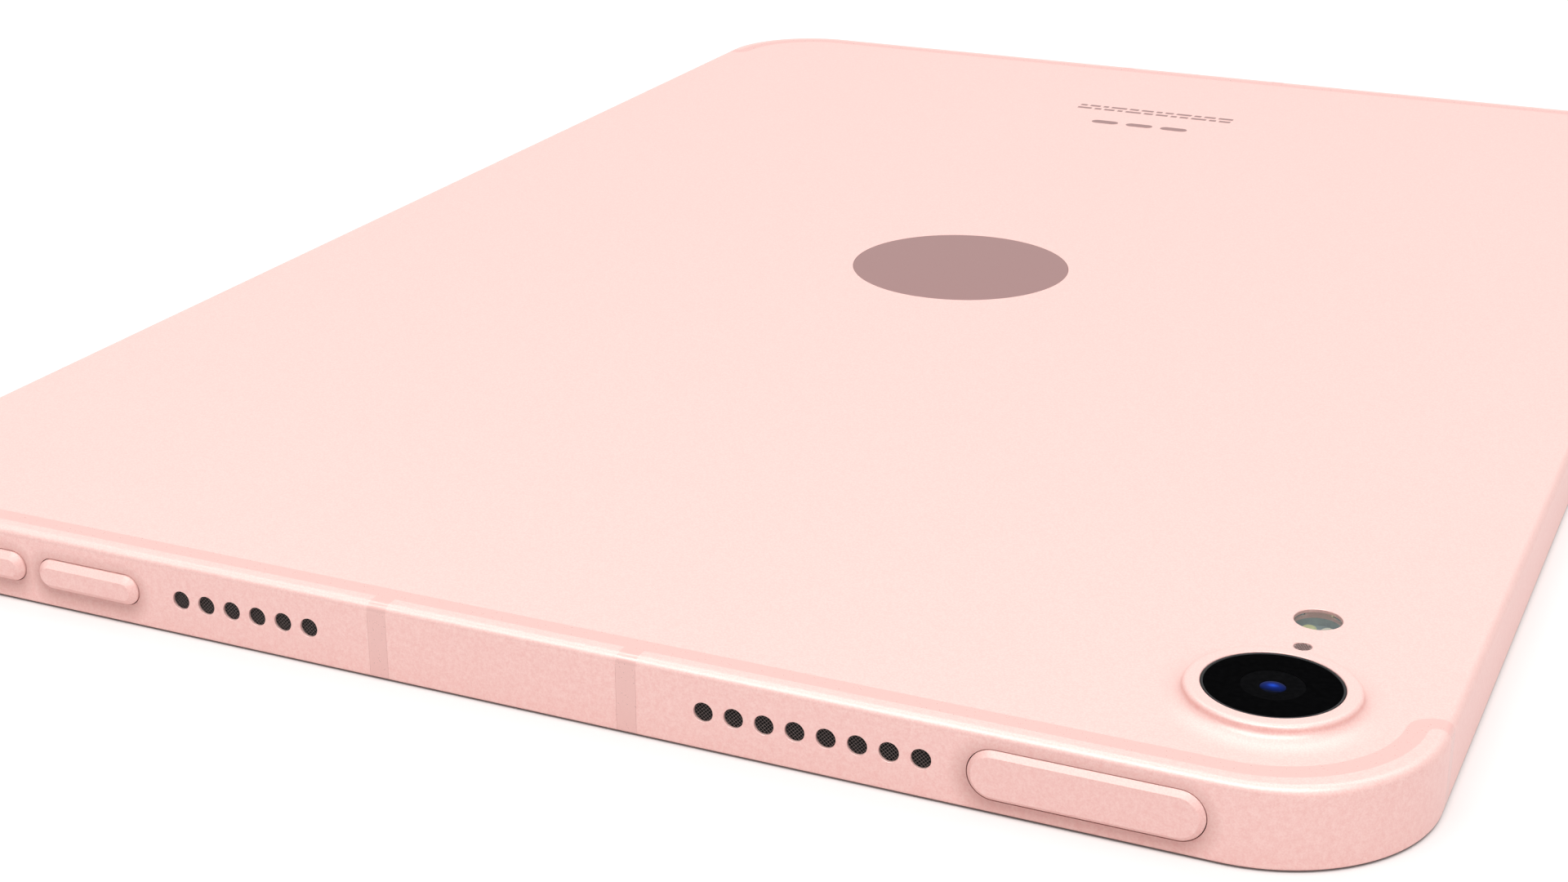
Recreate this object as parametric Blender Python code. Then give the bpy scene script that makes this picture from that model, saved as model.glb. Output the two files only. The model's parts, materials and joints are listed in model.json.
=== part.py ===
"""Eight-inch tablet computer, lying on its display with its metal back up.

The part stands in its own frame: X is across the tablet, Y along it and Z rises from the
display face to the back. The origin is the centre of the display face. The edge with the
buttons is at -Y and the charging port is at +Y. Every size below is in millimetres, and the
meshes are written in metres.
"""
import math

import bmesh
import bpy

MM = 0.001

# Outer body
HALF_WIDTH = 67.4
HALF_LENGTH = 97.7
THICKNESS = 6.3
CORNER_RADIUS = 12.5
CORNER_STEPS = 8
BACK_FILLET = 0.8
FILLET_STEPS = 3
RIM_LOW = 0.12
RIM_CHAMFER = 0.2
WALL = 1.0
PLATE_LOW = 5.4
BEYOND = 5.0

# Plastic bands that split the metal at both ends. Offsets are measured from the metal's edge.
SEAM = 0.05
BAND_NEAR = 1.5
BAND_FAR = 2.95
BAND_CORNER = 12.9
BAND_TURN_X = 66.5
BAND_TURN_Y = 85.15
BAND_TURN_OFFSET = 0.9
BAND_TURN_STEPS = 4
BAND_LOW = 5.4
SPLIT_NEAR = 9.85
SPLIT_FAR = 11.45

# Display stack
GASKET_INSET = 1.12
GASKET_WIDTH = 0.26
GASKET_LOW = 0.15
GASKET_HIGH = 0.76
GLASS_INSET = 1.45
GLASS_HIGH = 0.7
PANEL_HALF_WIDTH = 59.5
PANEL_HALF_LENGTH = 89.8
LCD_LOW = 0.82
LCD_HIGH = 1.52
BACKLIGHT_LOW = 1.65
BACKLIGHT_HIGH = 2.22
PANEL_CORNER = 4.0
GLASS_EDGE = 0.15

# Flat cables: sheet thickness, then the display cable's bends in X and Z and its two sides in Y
FLEX_SHEET = 0.15
FLEX_START_X = 59.8
FLEX_OUTER_X = 61.6
FLEX_END_X = 56.0
FLEX_LOW = 1.1
FLEX_HIGH = 4.35
FLEX_Y = (-40.0, -22.0)

# Inside the body, everything lies between these two heights.
INNER_LOW = 2.45
INNER_HIGH = 5.15

# Battery: a soft-edged pouch and its narrow board
BATTERY_CENTRE = (-19.5, 3.0)
BATTERY_HALF = (41.5, 59.0)
BATTERY_SOFT = 0.6
BATTERY_CORNERS = (2.0, 2.6)
BATTERY_BOARD_CENTRE = (1.0, -58.8)
BATTERY_BOARD_HALF = (21.0, 2.0)
BOARD_CORNER = 0.6

# Buttons on the -Y edge: centre, half size, how far the cap stands out, and travel room
EDGE_BUTTON_Z = 3.1
TOP_BUTTON_X = 45.55
TOP_BUTTON_HALF = (8.45, 1.92)
TOP_BUTTON_PROUD = 0.4
TOP_BUTTON_CHAMFER = 0.4
VOLUME_BUTTON_X = (-49.2, -37.9)
VOLUME_BUTTON_HALF = (4.9, 1.25)
VOLUME_BUTTON_PROUD = 0.65
VOLUME_BUTTON_CHAMFER = 0.55
BUTTON_CLEARANCE = 0.12
FLANGE_START = 1.15
FLANGE_THICKNESS = 0.3
FLANGE_WIDER = 0.5
FLANGE_TALLER = 0.2
SENSOR_START = 1.6
SENSOR_THICKNESS = 0.6
SWITCH_DOME_START = 2.55
SWITCH_PLATE_START = 2.8
SWITCH_PLATE_THICKNESS = 0.4
SWITCH_DOME_RADIUS = 1.3
SWITCH_PLATE_Z = (1.2, 4.9)
TOP_SWITCH_X = (37.2, 53.9)
VOLUME_SWITCH_X = (-53.9, -33.2)
DOME_SIDES = 12
SENSOR_HALF = (6.8, 1.5)
STEM_HALF = (1.8, 0.8)
ARC_STEPS = 6

# Speaker holes in the rails
SPEAKER_FIRST_X = 16.9
SPEAKER_PITCH = 2.4
SPEAKER_HOLE_RADIUS = 0.75
SPEAKER_HOLE_Z = 3.15
SPEAKER_HOLE_SIDES = 10
SPEAKER_MESH_START = 1.15
SPEAKER_MESH_THICKNESS = 0.2
SPEAKER_MESH_HALF_HEIGHT = 1.15
SPEAKER_BOX_START = 1.6
SPEAKER_BOX_DEPTH = 15.5
SPEAKER_BOX_CORNER = 1.2
SPEAKER_BORDER = 1.1
SPEAKER_MESH_CORNER = 0.5
SPEAKER_BOX_WIDER = 1.0

# Rear camera, flash and microphone, all on one line across X
CAMERA_X = 55.0
CAMERA_Y = -85.0
CAMERA_SEAT_RADIUS = 7.5
CAMERA_BUMP = 1.25
CAMERA_SIDES = 32
WINDOW_RADIUS = 5.0
WINDOW_LOW = 6.95
WINDOW_HIGH = 7.5
WINDOW_CHAMFER = 0.1
HOUSING_HALF = 5.2
HOUSING_LOW = 3.1
HOUSING_CORNER = 0.8
SENSOR_BOARD_HIGH = 2.95
BARREL_RADIUS = 3.6
BARREL_LOW = 3.5
BARREL_HIGH = 6.4
BARREL_MOUTH = 2.6
BARREL_LENS = 1.5
BARREL_SIDES = 20
FLASH_Y = -70.8
FLASH_RADIUS = 1.8
MIC_Y = -75.75
MIC_RADIUS = 0.67
SMALL_SIDES = 16
FLASH_WINDOW_LOW = 5.75
LED_BASE_HALF = 2.2
LED_BASE_Z = (4.2, 4.8)
LED_SPACING = 0.75
LED_HALF = 0.5
LED_HIGH = 5.2
MIC_SCREEN_LOW = 5.9
MIC_CASE_HALF = (1.6, 1.2)
MIC_CASE_Z = (4.2, 5.15)
MIC_PORT_RADIUS = 0.3

# Front camera, behind the display's border
FRONT_CAMERA_CENTRE = (0.0, -93.2)
FRONT_CAMERA_HALF = 3.1
FRONT_CAMERA_Z = (1.3, 4.9)
FRONT_SNOUT_RADIUS = 1.6
FRONT_SNOUT_LOW = 0.82

# Plain round inlay in the middle of the back
EMBLEM_RADIUS = 11.5
EMBLEM_DEPTH = 0.35
EMBLEM_SIDES = 48

# Boards and screws
BOARD_LOW = 3.3
BOARD_HIGH = 4.1
BOARD_X = (26.0, 61.2)
BOARD_Y = (-78.4, 22.0)
SCREW_PLACES = ((29.0, -75.0), (58.0, -62.0), (43.0, 19.0))
BOSS_RADIUS = 1.3
BOSS_LOW = 4.2
BOSS_HOLE_RADIUS = 0.6
BOSS_HOLE_HIGH = 5.2
SCREW_HEAD_RADIUS = 1.1
SCREW_HEAD_LOW = 2.75
SCREW_HEAD_HIGH = 3.2
SCREW_SHANK_RADIUS = 0.45
SCREW_SHANK_HIGH = 5.1
SCREW_HOLE_RADIUS = 0.65
SCREW_SIDES = 10
BOSS_SIDES = 12
CHIP_CENTRE = (41.5, -36.0)
CHIP_HALF = (7.0, 6.5)
CHIP_LOW = 4.2
CHIP_HIGH = 4.85
SHIELD_SKIN = 0.2
SHIELD_CORNER = 0.8
PROCESSOR_SHIELD = ((31.0, 52.0), (-52.0, -16.0))
MODEM_SHIELD = ((32.0, 54.0), (-12.0, 14.0))
USB_BOARD_CENTRE = (0.0, 87.0)
USB_BOARD_HALF = (12.0, 2.7)
CHARGE_FLEX_LOW = 4.2
CHARGE_FLEX_WIDTH = 3.0
CHARGE_FLEX_START = (8.5, 86.5)
CHARGE_FLEX_TURN_Y = 76.0
CHARGE_FLEX_RUN_X = 28.0
CHARGE_FLEX_END_Y = 16.5

# Charging port in the +Y edge
PORT_Z = 3.1
PORT_OPENING_HALF = (4.6, 1.7)
PORT_SHELL_HALF = (4.47, 1.58)
PORT_SHELL_WALL = 0.3
PORT_START = 0.15
PORT_DEPTH = 7.3
TONGUE_HALF = (3.35, 0.35)
TONGUE_START = 0.7
TONGUE_BASE_START = 5.6

# Card tray in the +X edge
TRAY_Y = 59.0
TRAY_Z = 3.1
TRAY_CAP_HALF = (7.5, 1.2)
TRAY_CAP_THICKNESS = 1.05
TRAY_CLEARANCE = 0.1
TRAY_PLATE_Y = (52.2, 63.2)
TRAY_PLATE_HALF_HEIGHT = 0.4
TRAY_INNER_X = 49.4
CARD_POCKET_X = (51.2, 60.2)
CARD_POCKET_Y = (53.3, 62.1)
EJECT_Y = 65.1
EJECT_HOLE_RADIUS = 0.45
ROD_RADIUS = 0.5
ROD_X = (47.9, 66.0)
LEVER_X = (46.9, 47.6)
LEVER_Y = (56.0, 65.6)
PIVOT_X = 47.25
PIVOT_Y = 60.8
PIVOT_HOLE_RADIUS = 0.35
PIVOT_PIN_RADIUS = 0.25
PIVOT_HUB_RADIUS = 0.75
LEVER_HALF_HEIGHT = 0.5
READER_SHEET = 0.3
READER_TOP = 4.65
READER_GAP = 0.8
READER_END_GAP = 0.6
TAB_HALF = (1.0, 1.2)

# Stylus charging window in the +X edge
STYLUS_HALF = (11.0, 1.5)
STYLUS_Z = 3.1
COIL_HALF = (10.5, 1.2)
COIL_Z = 3.7
COIL_WIDTH = 0.7
COIL_X = (64.2, 66.1)

# Magnets behind the two long sides
MAGNET_X = (63.4, 65.8)
STYLUS_MAGNET_Y = (16.0, 44.0)
COVER_MAGNET_Y = (-40.0, 40.0)
MAGNET_HIGH = 4.95

# Finishes: colour, roughness, metallic
FINISHES = {
    "pink_anodised": ((0.93, 0.70, 0.66, 1.0), 0.42, 0.35),
    "pink_plastic": ((0.91, 0.62, 0.57, 1.0), 0.5, 0.0),
    "mauve_polish": ((0.48, 0.31, 0.30, 1.0), 0.25, 0.6),
    "black_glass": ((0.01, 0.01, 0.012, 1.0), 0.06, 0.0),
    "clear_glass": ((0.62, 0.62, 0.60, 1.0), 0.08, 0.0),
    "black_rubber": ((0.02, 0.02, 0.02, 1.0), 0.7, 0.0),
    "panel": ((0.05, 0.05, 0.06, 1.0), 0.3, 0.0),
    "diffuser": ((0.85, 0.85, 0.82, 1.0), 0.5, 0.0),
    "flex": ((0.08, 0.05, 0.02, 1.0), 0.4, 0.0),
    "battery_foil": ((0.10, 0.10, 0.11, 1.0), 0.45, 0.2),
    "circuit_board": ((0.02, 0.05, 0.03, 1.0), 0.4, 0.0),
    "tinned_steel": ((0.62, 0.61, 0.58, 1.0), 0.3, 1.0),
    "dark_steel": ((0.22, 0.22, 0.23, 1.0), 0.35, 1.0),
    "black_plastic": ((0.02, 0.02, 0.022, 1.0), 0.5, 0.0),
    "magnet": ((0.45, 0.45, 0.46, 1.0), 0.3, 1.0),
    "copper_coil": ((0.72, 0.36, 0.18, 1.0), 0.35, 1.0),
}

AXIS_ORDER = {"X": (2, 0, 1), "Y": (0, 2, 1), "Z": (0, 1, 2)}


def clear_scene():
    for item in list(bpy.data.objects):
        bpy.data.objects.remove(item, do_unlink=True)


def finish_material(node, finish):
    colour, roughness, metallic = FINISHES[finish]
    material = bpy.data.materials.new(node + "_" + finish)
    material.use_nodes = True
    shader = material.node_tree.nodes["Principled BSDF"]
    shader.inputs["Base Color"].default_value = colour
    shader.inputs["Roughness"].default_value = roughness
    shader.inputs["Metallic"].default_value = metallic
    return material


# ---- outlines, as lists of points in a plane ----

def arc(centre, radius, start, end, steps):
    """Points on an arc from start to end degrees, both ends included."""
    points = []
    for step in range(steps + 1):
        angle = math.radians(start + (end - start) * step / steps)
        points.append((centre[0] + radius * math.cos(angle), centre[1] + radius * math.sin(angle)))
    return points


def circle(radius, sides, centre=(0.0, 0.0)):
    return arc(centre, radius, 0.0, 360.0, sides)[:-1]


def rounded_rectangle(half, radius, steps, centre=(0.0, 0.0)):
    """Anticlockwise outline of a rectangle whose corners are arcs."""
    points = []
    for quarter, (sign_a, sign_b) in enumerate(((1, 1), (-1, 1), (-1, -1), (1, -1))):
        corner = (centre[0] + sign_a * (half[0] - radius), centre[1] + sign_b * (half[1] - radius))
        points += arc(corner, radius, 90.0 * quarter, 90.0 * quarter + 90.0, steps)
    return points


def obround(half, centre=(0.0, 0.0), grow=0.0):
    """A slot shape, long side first: two half circles joined by straight sides."""
    end = half[0] - half[1]
    radius = half[1] + grow
    right = arc((centre[0] + end, centre[1]), radius, -90.0, 90.0, ARC_STEPS)
    left = arc((centre[0] - end, centre[1]), radius, 90.0, 270.0, ARC_STEPS)
    return right + left


def rectangle(x_range, y_range):
    return [(x_range[0], y_range[0]), (x_range[1], y_range[0]),
            (x_range[1], y_range[1]), (x_range[0], y_range[1])]


def mirrored(outline, sign_x, sign_y):
    """The outline reflected, with its points put back in anticlockwise order."""
    points = [(sign_x * x, sign_y * y) for x, y in outline]
    return points if sign_x * sign_y > 0 else points[::-1]


def body_outline(inset):
    half = (HALF_WIDTH - inset, HALF_LENGTH - inset)
    return rounded_rectangle(half, CORNER_RADIUS - inset, CORNER_STEPS)


def band_edge(offset):
    """One edge of the band at the -Y end, from the middle of the end edge to past the +X side.

    It runs beside the end edge, follows the corner and then turns outwards through the side.
    """
    corner = (HALF_WIDTH - BAND_CORNER, BAND_CORNER - HALF_LENGTH)
    turn_radius = offset - BAND_TURN_OFFSET
    points = arc(corner, BAND_CORNER - offset, -90.0, -3.0, CORNER_STEPS)
    points += arc((BAND_TURN_X, -BAND_TURN_Y), turn_radius, 180.0, 90.0, BAND_TURN_STEPS)
    points.append((HALF_WIDTH + BEYOND, turn_radius - BAND_TURN_Y))
    return points


# ---- solids ----

def place(a, b, level, axis):
    """Outline point (a, b) at a level along the axis, as X, Y, Z in metres."""
    values = (a, b, level)
    return tuple(values[index] * MM for index in AXIS_ORDER[axis])


def loft(solid, rings, axis="Z", closed=False):
    """Skin a list of (outline, level) rings. A closed loft joins its last ring to its first."""
    loops = []
    for outline, level in rings:
        loops.append([solid.verts.new(place(a, b, level, axis)) for a, b in outline])
    count = len(loops[0])
    pairs = list(zip(loops[:-1], loops[1:]))
    if closed:
        pairs.append((loops[-1], loops[0]))
    for lower, upper in pairs:
        for index in range(count):
            after = (index + 1) % count
            solid.faces.new((lower[index], lower[after], upper[after], upper[index]))
    if not closed:
        solid.faces.new(loops[0][::-1])
        solid.faces.new(loops[-1])
    return solid


def prism(solid, outline, low, high, axis="Z"):
    return loft(solid, [(outline, low), (outline, high)], axis)


def box(solid, x_range, y_range, z_range):
    return prism(solid, rectangle(x_range, y_range), z_range[0], z_range[1])


def turned(solid, profile, sides, centre, closed=False):
    """A solid of revolution about Z, from (radius, height) points."""
    rings = [(circle(radius, sides, centre), height) for radius, height in profile]
    return loft(solid, rings, "Z", closed)


def cylinder(solid, radius, low, high, centre, sides=SMALL_SIDES, axis="Z"):
    return prism(solid, circle(radius, sides, centre), low, high, axis)


def mesh_object(name, solid, origin=(0.0, 0.0, 0.0)):
    bmesh.ops.recalc_face_normals(solid, faces=solid.faces)
    start = tuple(value * MM for value in origin)
    bmesh.ops.translate(solid, verts=solid.verts, vec=tuple(-value for value in start))
    mesh = bpy.data.meshes.new(name)
    solid.to_mesh(mesh)
    solid.free()
    item = bpy.data.objects.new(name, mesh)
    item.location = start
    bpy.context.scene.collection.objects.link(item)
    return item


def node(name, solid, finish, origin=(0.0, 0.0, 0.0), smooth=True):
    item = mesh_object(name, solid, origin)
    item.data.materials.append(finish_material(name, finish))
    if smooth:
        item.data.shade_smooth()
        item.data.set_sharp_from_angle(angle=math.radians(35.0))
    return item


def cut(target, solid, label, operation="DIFFERENCE"):
    """Apply a Boolean from a hidden helper solid."""
    helper = mesh_object("helper_" + target.name + "_" + label, solid)
    helper.display_type = "WIRE"
    helper.hide_render = True
    modifier = target.modifiers.new(label, "BOOLEAN")
    modifier.operation = operation
    modifier.solver = "EXACT"
    modifier.object = helper
    return modifier


# ---- metal body ----

def body_skin():
    """The whole outer form as one solid: a small front chamfer, flat sides, a rounded back."""
    rings = [(body_outline(RIM_CHAMFER), RIM_LOW), (body_outline(0.0), RIM_LOW + RIM_CHAMFER)]
    for step in range(FILLET_STEPS + 1):
        angle = 0.5 * math.pi * step / FILLET_STEPS
        inset = BACK_FILLET * (1.0 - math.cos(angle))
        rings.append((body_outline(inset), THICKNESS - BACK_FILLET * (1.0 - math.sin(angle))))
    return loft(bmesh.new(), rings)


def body_cavity():
    """The room inside the walls, open towards the display."""
    return prism(bmesh.new(), body_outline(WALL), RIM_LOW - BEYOND, PLATE_LOW)


def shell_region():
    """Plan of the rear shell: all that lies between the two bands."""
    edge = band_edge(BAND_FAR + SEAM)
    outline = edge + mirrored(edge, 1, -1)
    outline += [(-x, y) for x, y in mirrored(edge, 1, -1)[::-1]]
    outline += [(-x, y) for x, y in edge[::-1]]
    return prism(bmesh.new(), outline, RIM_LOW - BEYOND, THICKNESS + BEYOND)


def shell_bosses():
    solid = bmesh.new()
    for place_xy in SCREW_PLACES:
        cylinder(solid, BOSS_RADIUS, BOSS_LOW, THICKNESS - EMBLEM_DEPTH, place_xy, BOSS_SIDES)
    return solid


def shell_openings():
    """Camera seat, flash and microphone holes, emblem pocket, slots in the +X side."""
    solid = bmesh.new()
    above = THICKNESS + BEYOND
    camera = (CAMERA_X, CAMERA_Y)
    cylinder(solid, CAMERA_SEAT_RADIUS + 2 * SEAM, BOSS_LOW, above, camera, CAMERA_SIDES)
    cylinder(solid, FLASH_RADIUS + SEAM, BOSS_LOW, above, (CAMERA_X, FLASH_Y))
    cylinder(solid, MIC_RADIUS + SEAM, BOSS_LOW, above, (CAMERA_X, MIC_Y))
    pocket = THICKNESS - EMBLEM_DEPTH - SEAM
    cylinder(solid, EMBLEM_RADIUS + SEAM, pocket, above, (0.0, 0.0), EMBLEM_SIDES)
    for place_xy in SCREW_PLACES:
        cylinder(solid, BOSS_HOLE_RADIUS, BOSS_LOW - 1.0, BOSS_HOLE_HIGH, place_xy, 8)
    tray_slot = obround(TRAY_CAP_HALF, (TRAY_Y, TRAY_Z), TRAY_CLEARANCE)
    prism(solid, tray_slot, HALF_WIDTH - 2 * WALL, HALF_WIDTH + BEYOND, "X")
    stylus_slot = obround(STYLUS_HALF, (0.0, STYLUS_Z), SEAM)
    prism(solid, stylus_slot, HALF_WIDTH - 2 * WALL, HALF_WIDTH + BEYOND, "X")
    return solid


def build_rear_shell():
    shell = node("rear_shell", body_skin(), "pink_anodised")
    cut(shell, shell_region(), "between_bands", "INTERSECT")
    cut(shell, body_cavity(), "cavity")
    cut(shell, shell_bosses(), "bosses", "UNION")
    cut(shell, shell_openings(), "openings")


def rail_region(side, end):
    """Plan of one rail: -1 left, 0 centre, +1 right, at the -Y (-1) or +Y (+1) end."""
    outside = HALF_LENGTH + BEYOND
    inner = HALF_LENGTH - BAND_NEAR + SEAM
    if side == 0:
        reach = SPLIT_NEAR - SEAM
        outline = [(-reach, -outside), (reach, -outside), (reach, -inner), (-reach, -inner)]
        return mirrored(outline, 1, -end)
    start = SPLIT_FAR + SEAM
    edge = band_edge(BAND_NEAR - SEAM)
    outline = [(start, -outside), (HALF_WIDTH + BEYOND, -outside)]
    outline += edge[::-1]
    outline.append((start, -inner))
    return mirrored(outline, side, -end)


def speaker_hole_places(side, end):
    """Hole centres across X. The group beside the volume buttons has two fewer holes."""
    if side == 0:
        return []
    count = 6 if (side, end) == (-1, -1) else 8
    return [side * (SPEAKER_FIRST_X + SPEAKER_PITCH * index) for index in range(count)]


def rail_openings(side, end):
    """Speaker holes, button slots and the charging port, as one solid that cuts a rail."""
    solid = bmesh.new()
    inner = end * (HALF_LENGTH - 2 * WALL)
    outer = end * (HALF_LENGTH + BEYOND)
    for x in speaker_hole_places(side, end):
        cylinder(solid, SPEAKER_HOLE_RADIUS, inner, outer, (x, SPEAKER_HOLE_Z), SPEAKER_HOLE_SIDES, "Y")
    slots = []
    if (side, end) == (1, -1):
        slots.append(obround(TOP_BUTTON_HALF, (TOP_BUTTON_X, EDGE_BUTTON_Z), BUTTON_CLEARANCE))
    if (side, end) == (-1, -1):
        for x in VOLUME_BUTTON_X:
            slots.append(obround(VOLUME_BUTTON_HALF, (x, EDGE_BUTTON_Z), BUTTON_CLEARANCE))
    if (side, end) == (0, 1):
        slots.append(obround(PORT_OPENING_HALF, (0.0, PORT_Z)))
    for slot in slots:
        prism(solid, slot, inner, outer, "Y")
    return solid


def build_rails():
    for end, end_name in ((-1, "top"), (1, "bottom")):
        for side, side_name in ((-1, "left"), (0, "centre"), (1, "right")):
            rail = node(end_name + "_rail_" + side_name, body_skin(), "pink_anodised")
            region = prism(bmesh.new(), rail_region(side, end), RIM_LOW - BEYOND, THICKNESS + BEYOND)
            cut(rail, region, "plan", "INTERSECT")
            cut(rail, body_cavity(), "cavity")
            if (side, end) != (0, -1):
                cut(rail, rail_openings(side, end), "openings")


def band_plan(end):
    """Plan of a band: a strip between two parallel edges, with a stub through each split."""
    outside = HALF_LENGTH + BEYOND
    near = HALF_LENGTH - BAND_NEAR
    far_edge = band_edge(BAND_FAR)
    near_edge = band_edge(BAND_NEAR)
    stub = [(SPLIT_FAR, -near), (SPLIT_FAR, -outside), (SPLIT_NEAR, -outside), (SPLIT_NEAR, -near)]
    half = near_edge[::-1] + stub
    outline = half + [(-x, y) for x, y in half[::-1]]
    outline += [(-x, y) for x, y in far_edge[::-1]] + far_edge
    return mirrored(outline[::-1], 1, -end)


def band_legs(end):
    """The parts of a band that run down through the metal wall to the display side."""
    solid = bmesh.new()
    sliver = 0.2 * SEAM
    wall_y = HALF_LENGTH - WALL + sliver
    end_y = HALF_LENGTH + BEYOND
    low = RIM_LOW - BEYOND
    high = THICKNESS - 0.5 * (THICKNESS - BAND_LOW)
    y_range = sorted((end * wall_y, end * end_y))
    turn_near = BAND_TURN_Y - (BAND_NEAR - BAND_TURN_OFFSET) - sliver
    turn_far = BAND_TURN_Y - (BAND_FAR - BAND_TURN_OFFSET) + sliver
    side_y = sorted((end * turn_near, end * turn_far))
    for sign in (-1, 1):
        split_x = sorted((sign * (SPLIT_NEAR + sliver), sign * (SPLIT_FAR - sliver)))
        box(solid, split_x, y_range, (low, high))
        side_x = sorted((sign * (HALF_WIDTH - WALL + sliver), sign * (HALF_WIDTH + BEYOND)))
        box(solid, side_x, side_y, (low, high))
    return solid


def build_bands():
    for end, end_name in ((-1, "top"), (1, "bottom")):
        strip = prism(bmesh.new(), band_plan(end), BAND_LOW, THICKNESS + BEYOND)
        band = node("antenna_band_" + end_name, strip, "pink_plastic")
        cut(band, band_legs(end), "legs", "UNION")
        cut(band, body_skin(), "outside", "INTERSECT")


def build_emblem():
    solid = bmesh.new()
    cylinder(solid, EMBLEM_RADIUS, THICKNESS - EMBLEM_DEPTH, THICKNESS, (0.0, 0.0), EMBLEM_SIDES)
    node("rear_emblem", solid, "mauve_polish")


# ---- display ----

def build_display():
    glass = bmesh.new()
    rings = [(body_outline(GLASS_INSET + GLASS_EDGE), 0.0), (body_outline(GLASS_INSET), GLASS_EDGE),
             (body_outline(GLASS_INSET), GLASS_HIGH)]
    loft(glass, rings)
    node("display_glass", glass, "black_glass")

    gasket = bmesh.new()
    outer = body_outline(GASKET_INSET)
    inner = body_outline(GASKET_INSET + GASKET_WIDTH)
    rings = [(outer, GASKET_LOW), (outer, GASKET_HIGH), (inner, GASKET_HIGH), (inner, GASKET_LOW)]
    loft(gasket, rings, closed=True)
    node("display_gasket", gasket, "black_rubber")

    outline = rounded_rectangle((PANEL_HALF_WIDTH, PANEL_HALF_LENGTH), PANEL_CORNER, 3)
    node("lcd_panel", prism(bmesh.new(), outline, LCD_LOW, LCD_HIGH), "panel")
    node("backlight_unit", prism(bmesh.new(), outline, BACKLIGHT_LOW, BACKLIGHT_HIGH), "diffuser")

    # A flat cable folded round the edge of the logic board, as a profile in X and Z
    inner_x = FLEX_OUTER_X - FLEX_SHEET
    under = FLEX_HIGH - FLEX_SHEET
    over = FLEX_LOW + FLEX_SHEET
    profile = [(FLEX_START_X, FLEX_LOW), (FLEX_OUTER_X, FLEX_LOW), (FLEX_OUTER_X, FLEX_HIGH),
               (FLEX_END_X, FLEX_HIGH), (FLEX_END_X, under), (inner_x, under), (inner_x, over),
               (FLEX_START_X, over)]
    node("display_flex", prism(bmesh.new(), profile, FLEX_Y[0], FLEX_Y[1], "Y"), "flex", smooth=False)


# ---- battery and boards ----

def build_battery():
    cell = bmesh.new()
    smaller = (BATTERY_HALF[0] - BATTERY_SOFT, BATTERY_HALF[1] - BATTERY_SOFT)
    face = rounded_rectangle(smaller, BATTERY_CORNERS[0], 3, BATTERY_CENTRE)
    middle = rounded_rectangle(BATTERY_HALF, BATTERY_CORNERS[1], 3, BATTERY_CENTRE)
    rings = [(face, INNER_LOW), (middle, INNER_LOW + BATTERY_SOFT),
             (middle, INNER_HIGH - BATTERY_SOFT), (face, INNER_HIGH)]
    loft(cell, rings)
    node("battery_cell", cell, "battery_foil")
    outline = rounded_rectangle(BATTERY_BOARD_HALF, BOARD_CORNER, 2, BATTERY_BOARD_CENTRE)
    node("battery_board", prism(bmesh.new(), outline, BOARD_LOW, BOARD_HIGH), "circuit_board")


def build_screws():
    for index, (x, y) in enumerate(SCREW_PLACES):
        profile = [(SCREW_HEAD_RADIUS, SCREW_HEAD_LOW), (SCREW_HEAD_RADIUS, SCREW_HEAD_HIGH),
                   (SCREW_SHANK_RADIUS, SCREW_HEAD_HIGH), (SCREW_SHANK_RADIUS, SCREW_SHANK_HIGH)]
        solid = turned(bmesh.new(), profile, SCREW_SIDES, (x, y))
        node("logic_board_screw_" + str(index + 1), solid, "dark_steel")


def shield_can(x_range, y_range):
    """A thin can, open towards the board it covers."""
    centre = (0.5 * (x_range[0] + x_range[1]), 0.5 * (y_range[0] + y_range[1]))
    half = (0.5 * (x_range[1] - x_range[0]), 0.5 * (y_range[1] - y_range[0]))
    outer = rounded_rectangle(half, SHIELD_CORNER, 2, centre)
    inner_half = (half[0] - SHIELD_SKIN, half[1] - SHIELD_SKIN)
    inner = rounded_rectangle(inner_half, SHIELD_CORNER - SHIELD_SKIN, 2, centre)
    low = BOARD_HIGH + SEAM
    rings = [(outer, INNER_HIGH), (outer, low), (inner, low), (inner, INNER_HIGH - SHIELD_SKIN)]
    return loft(bmesh.new(), rings)


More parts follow.
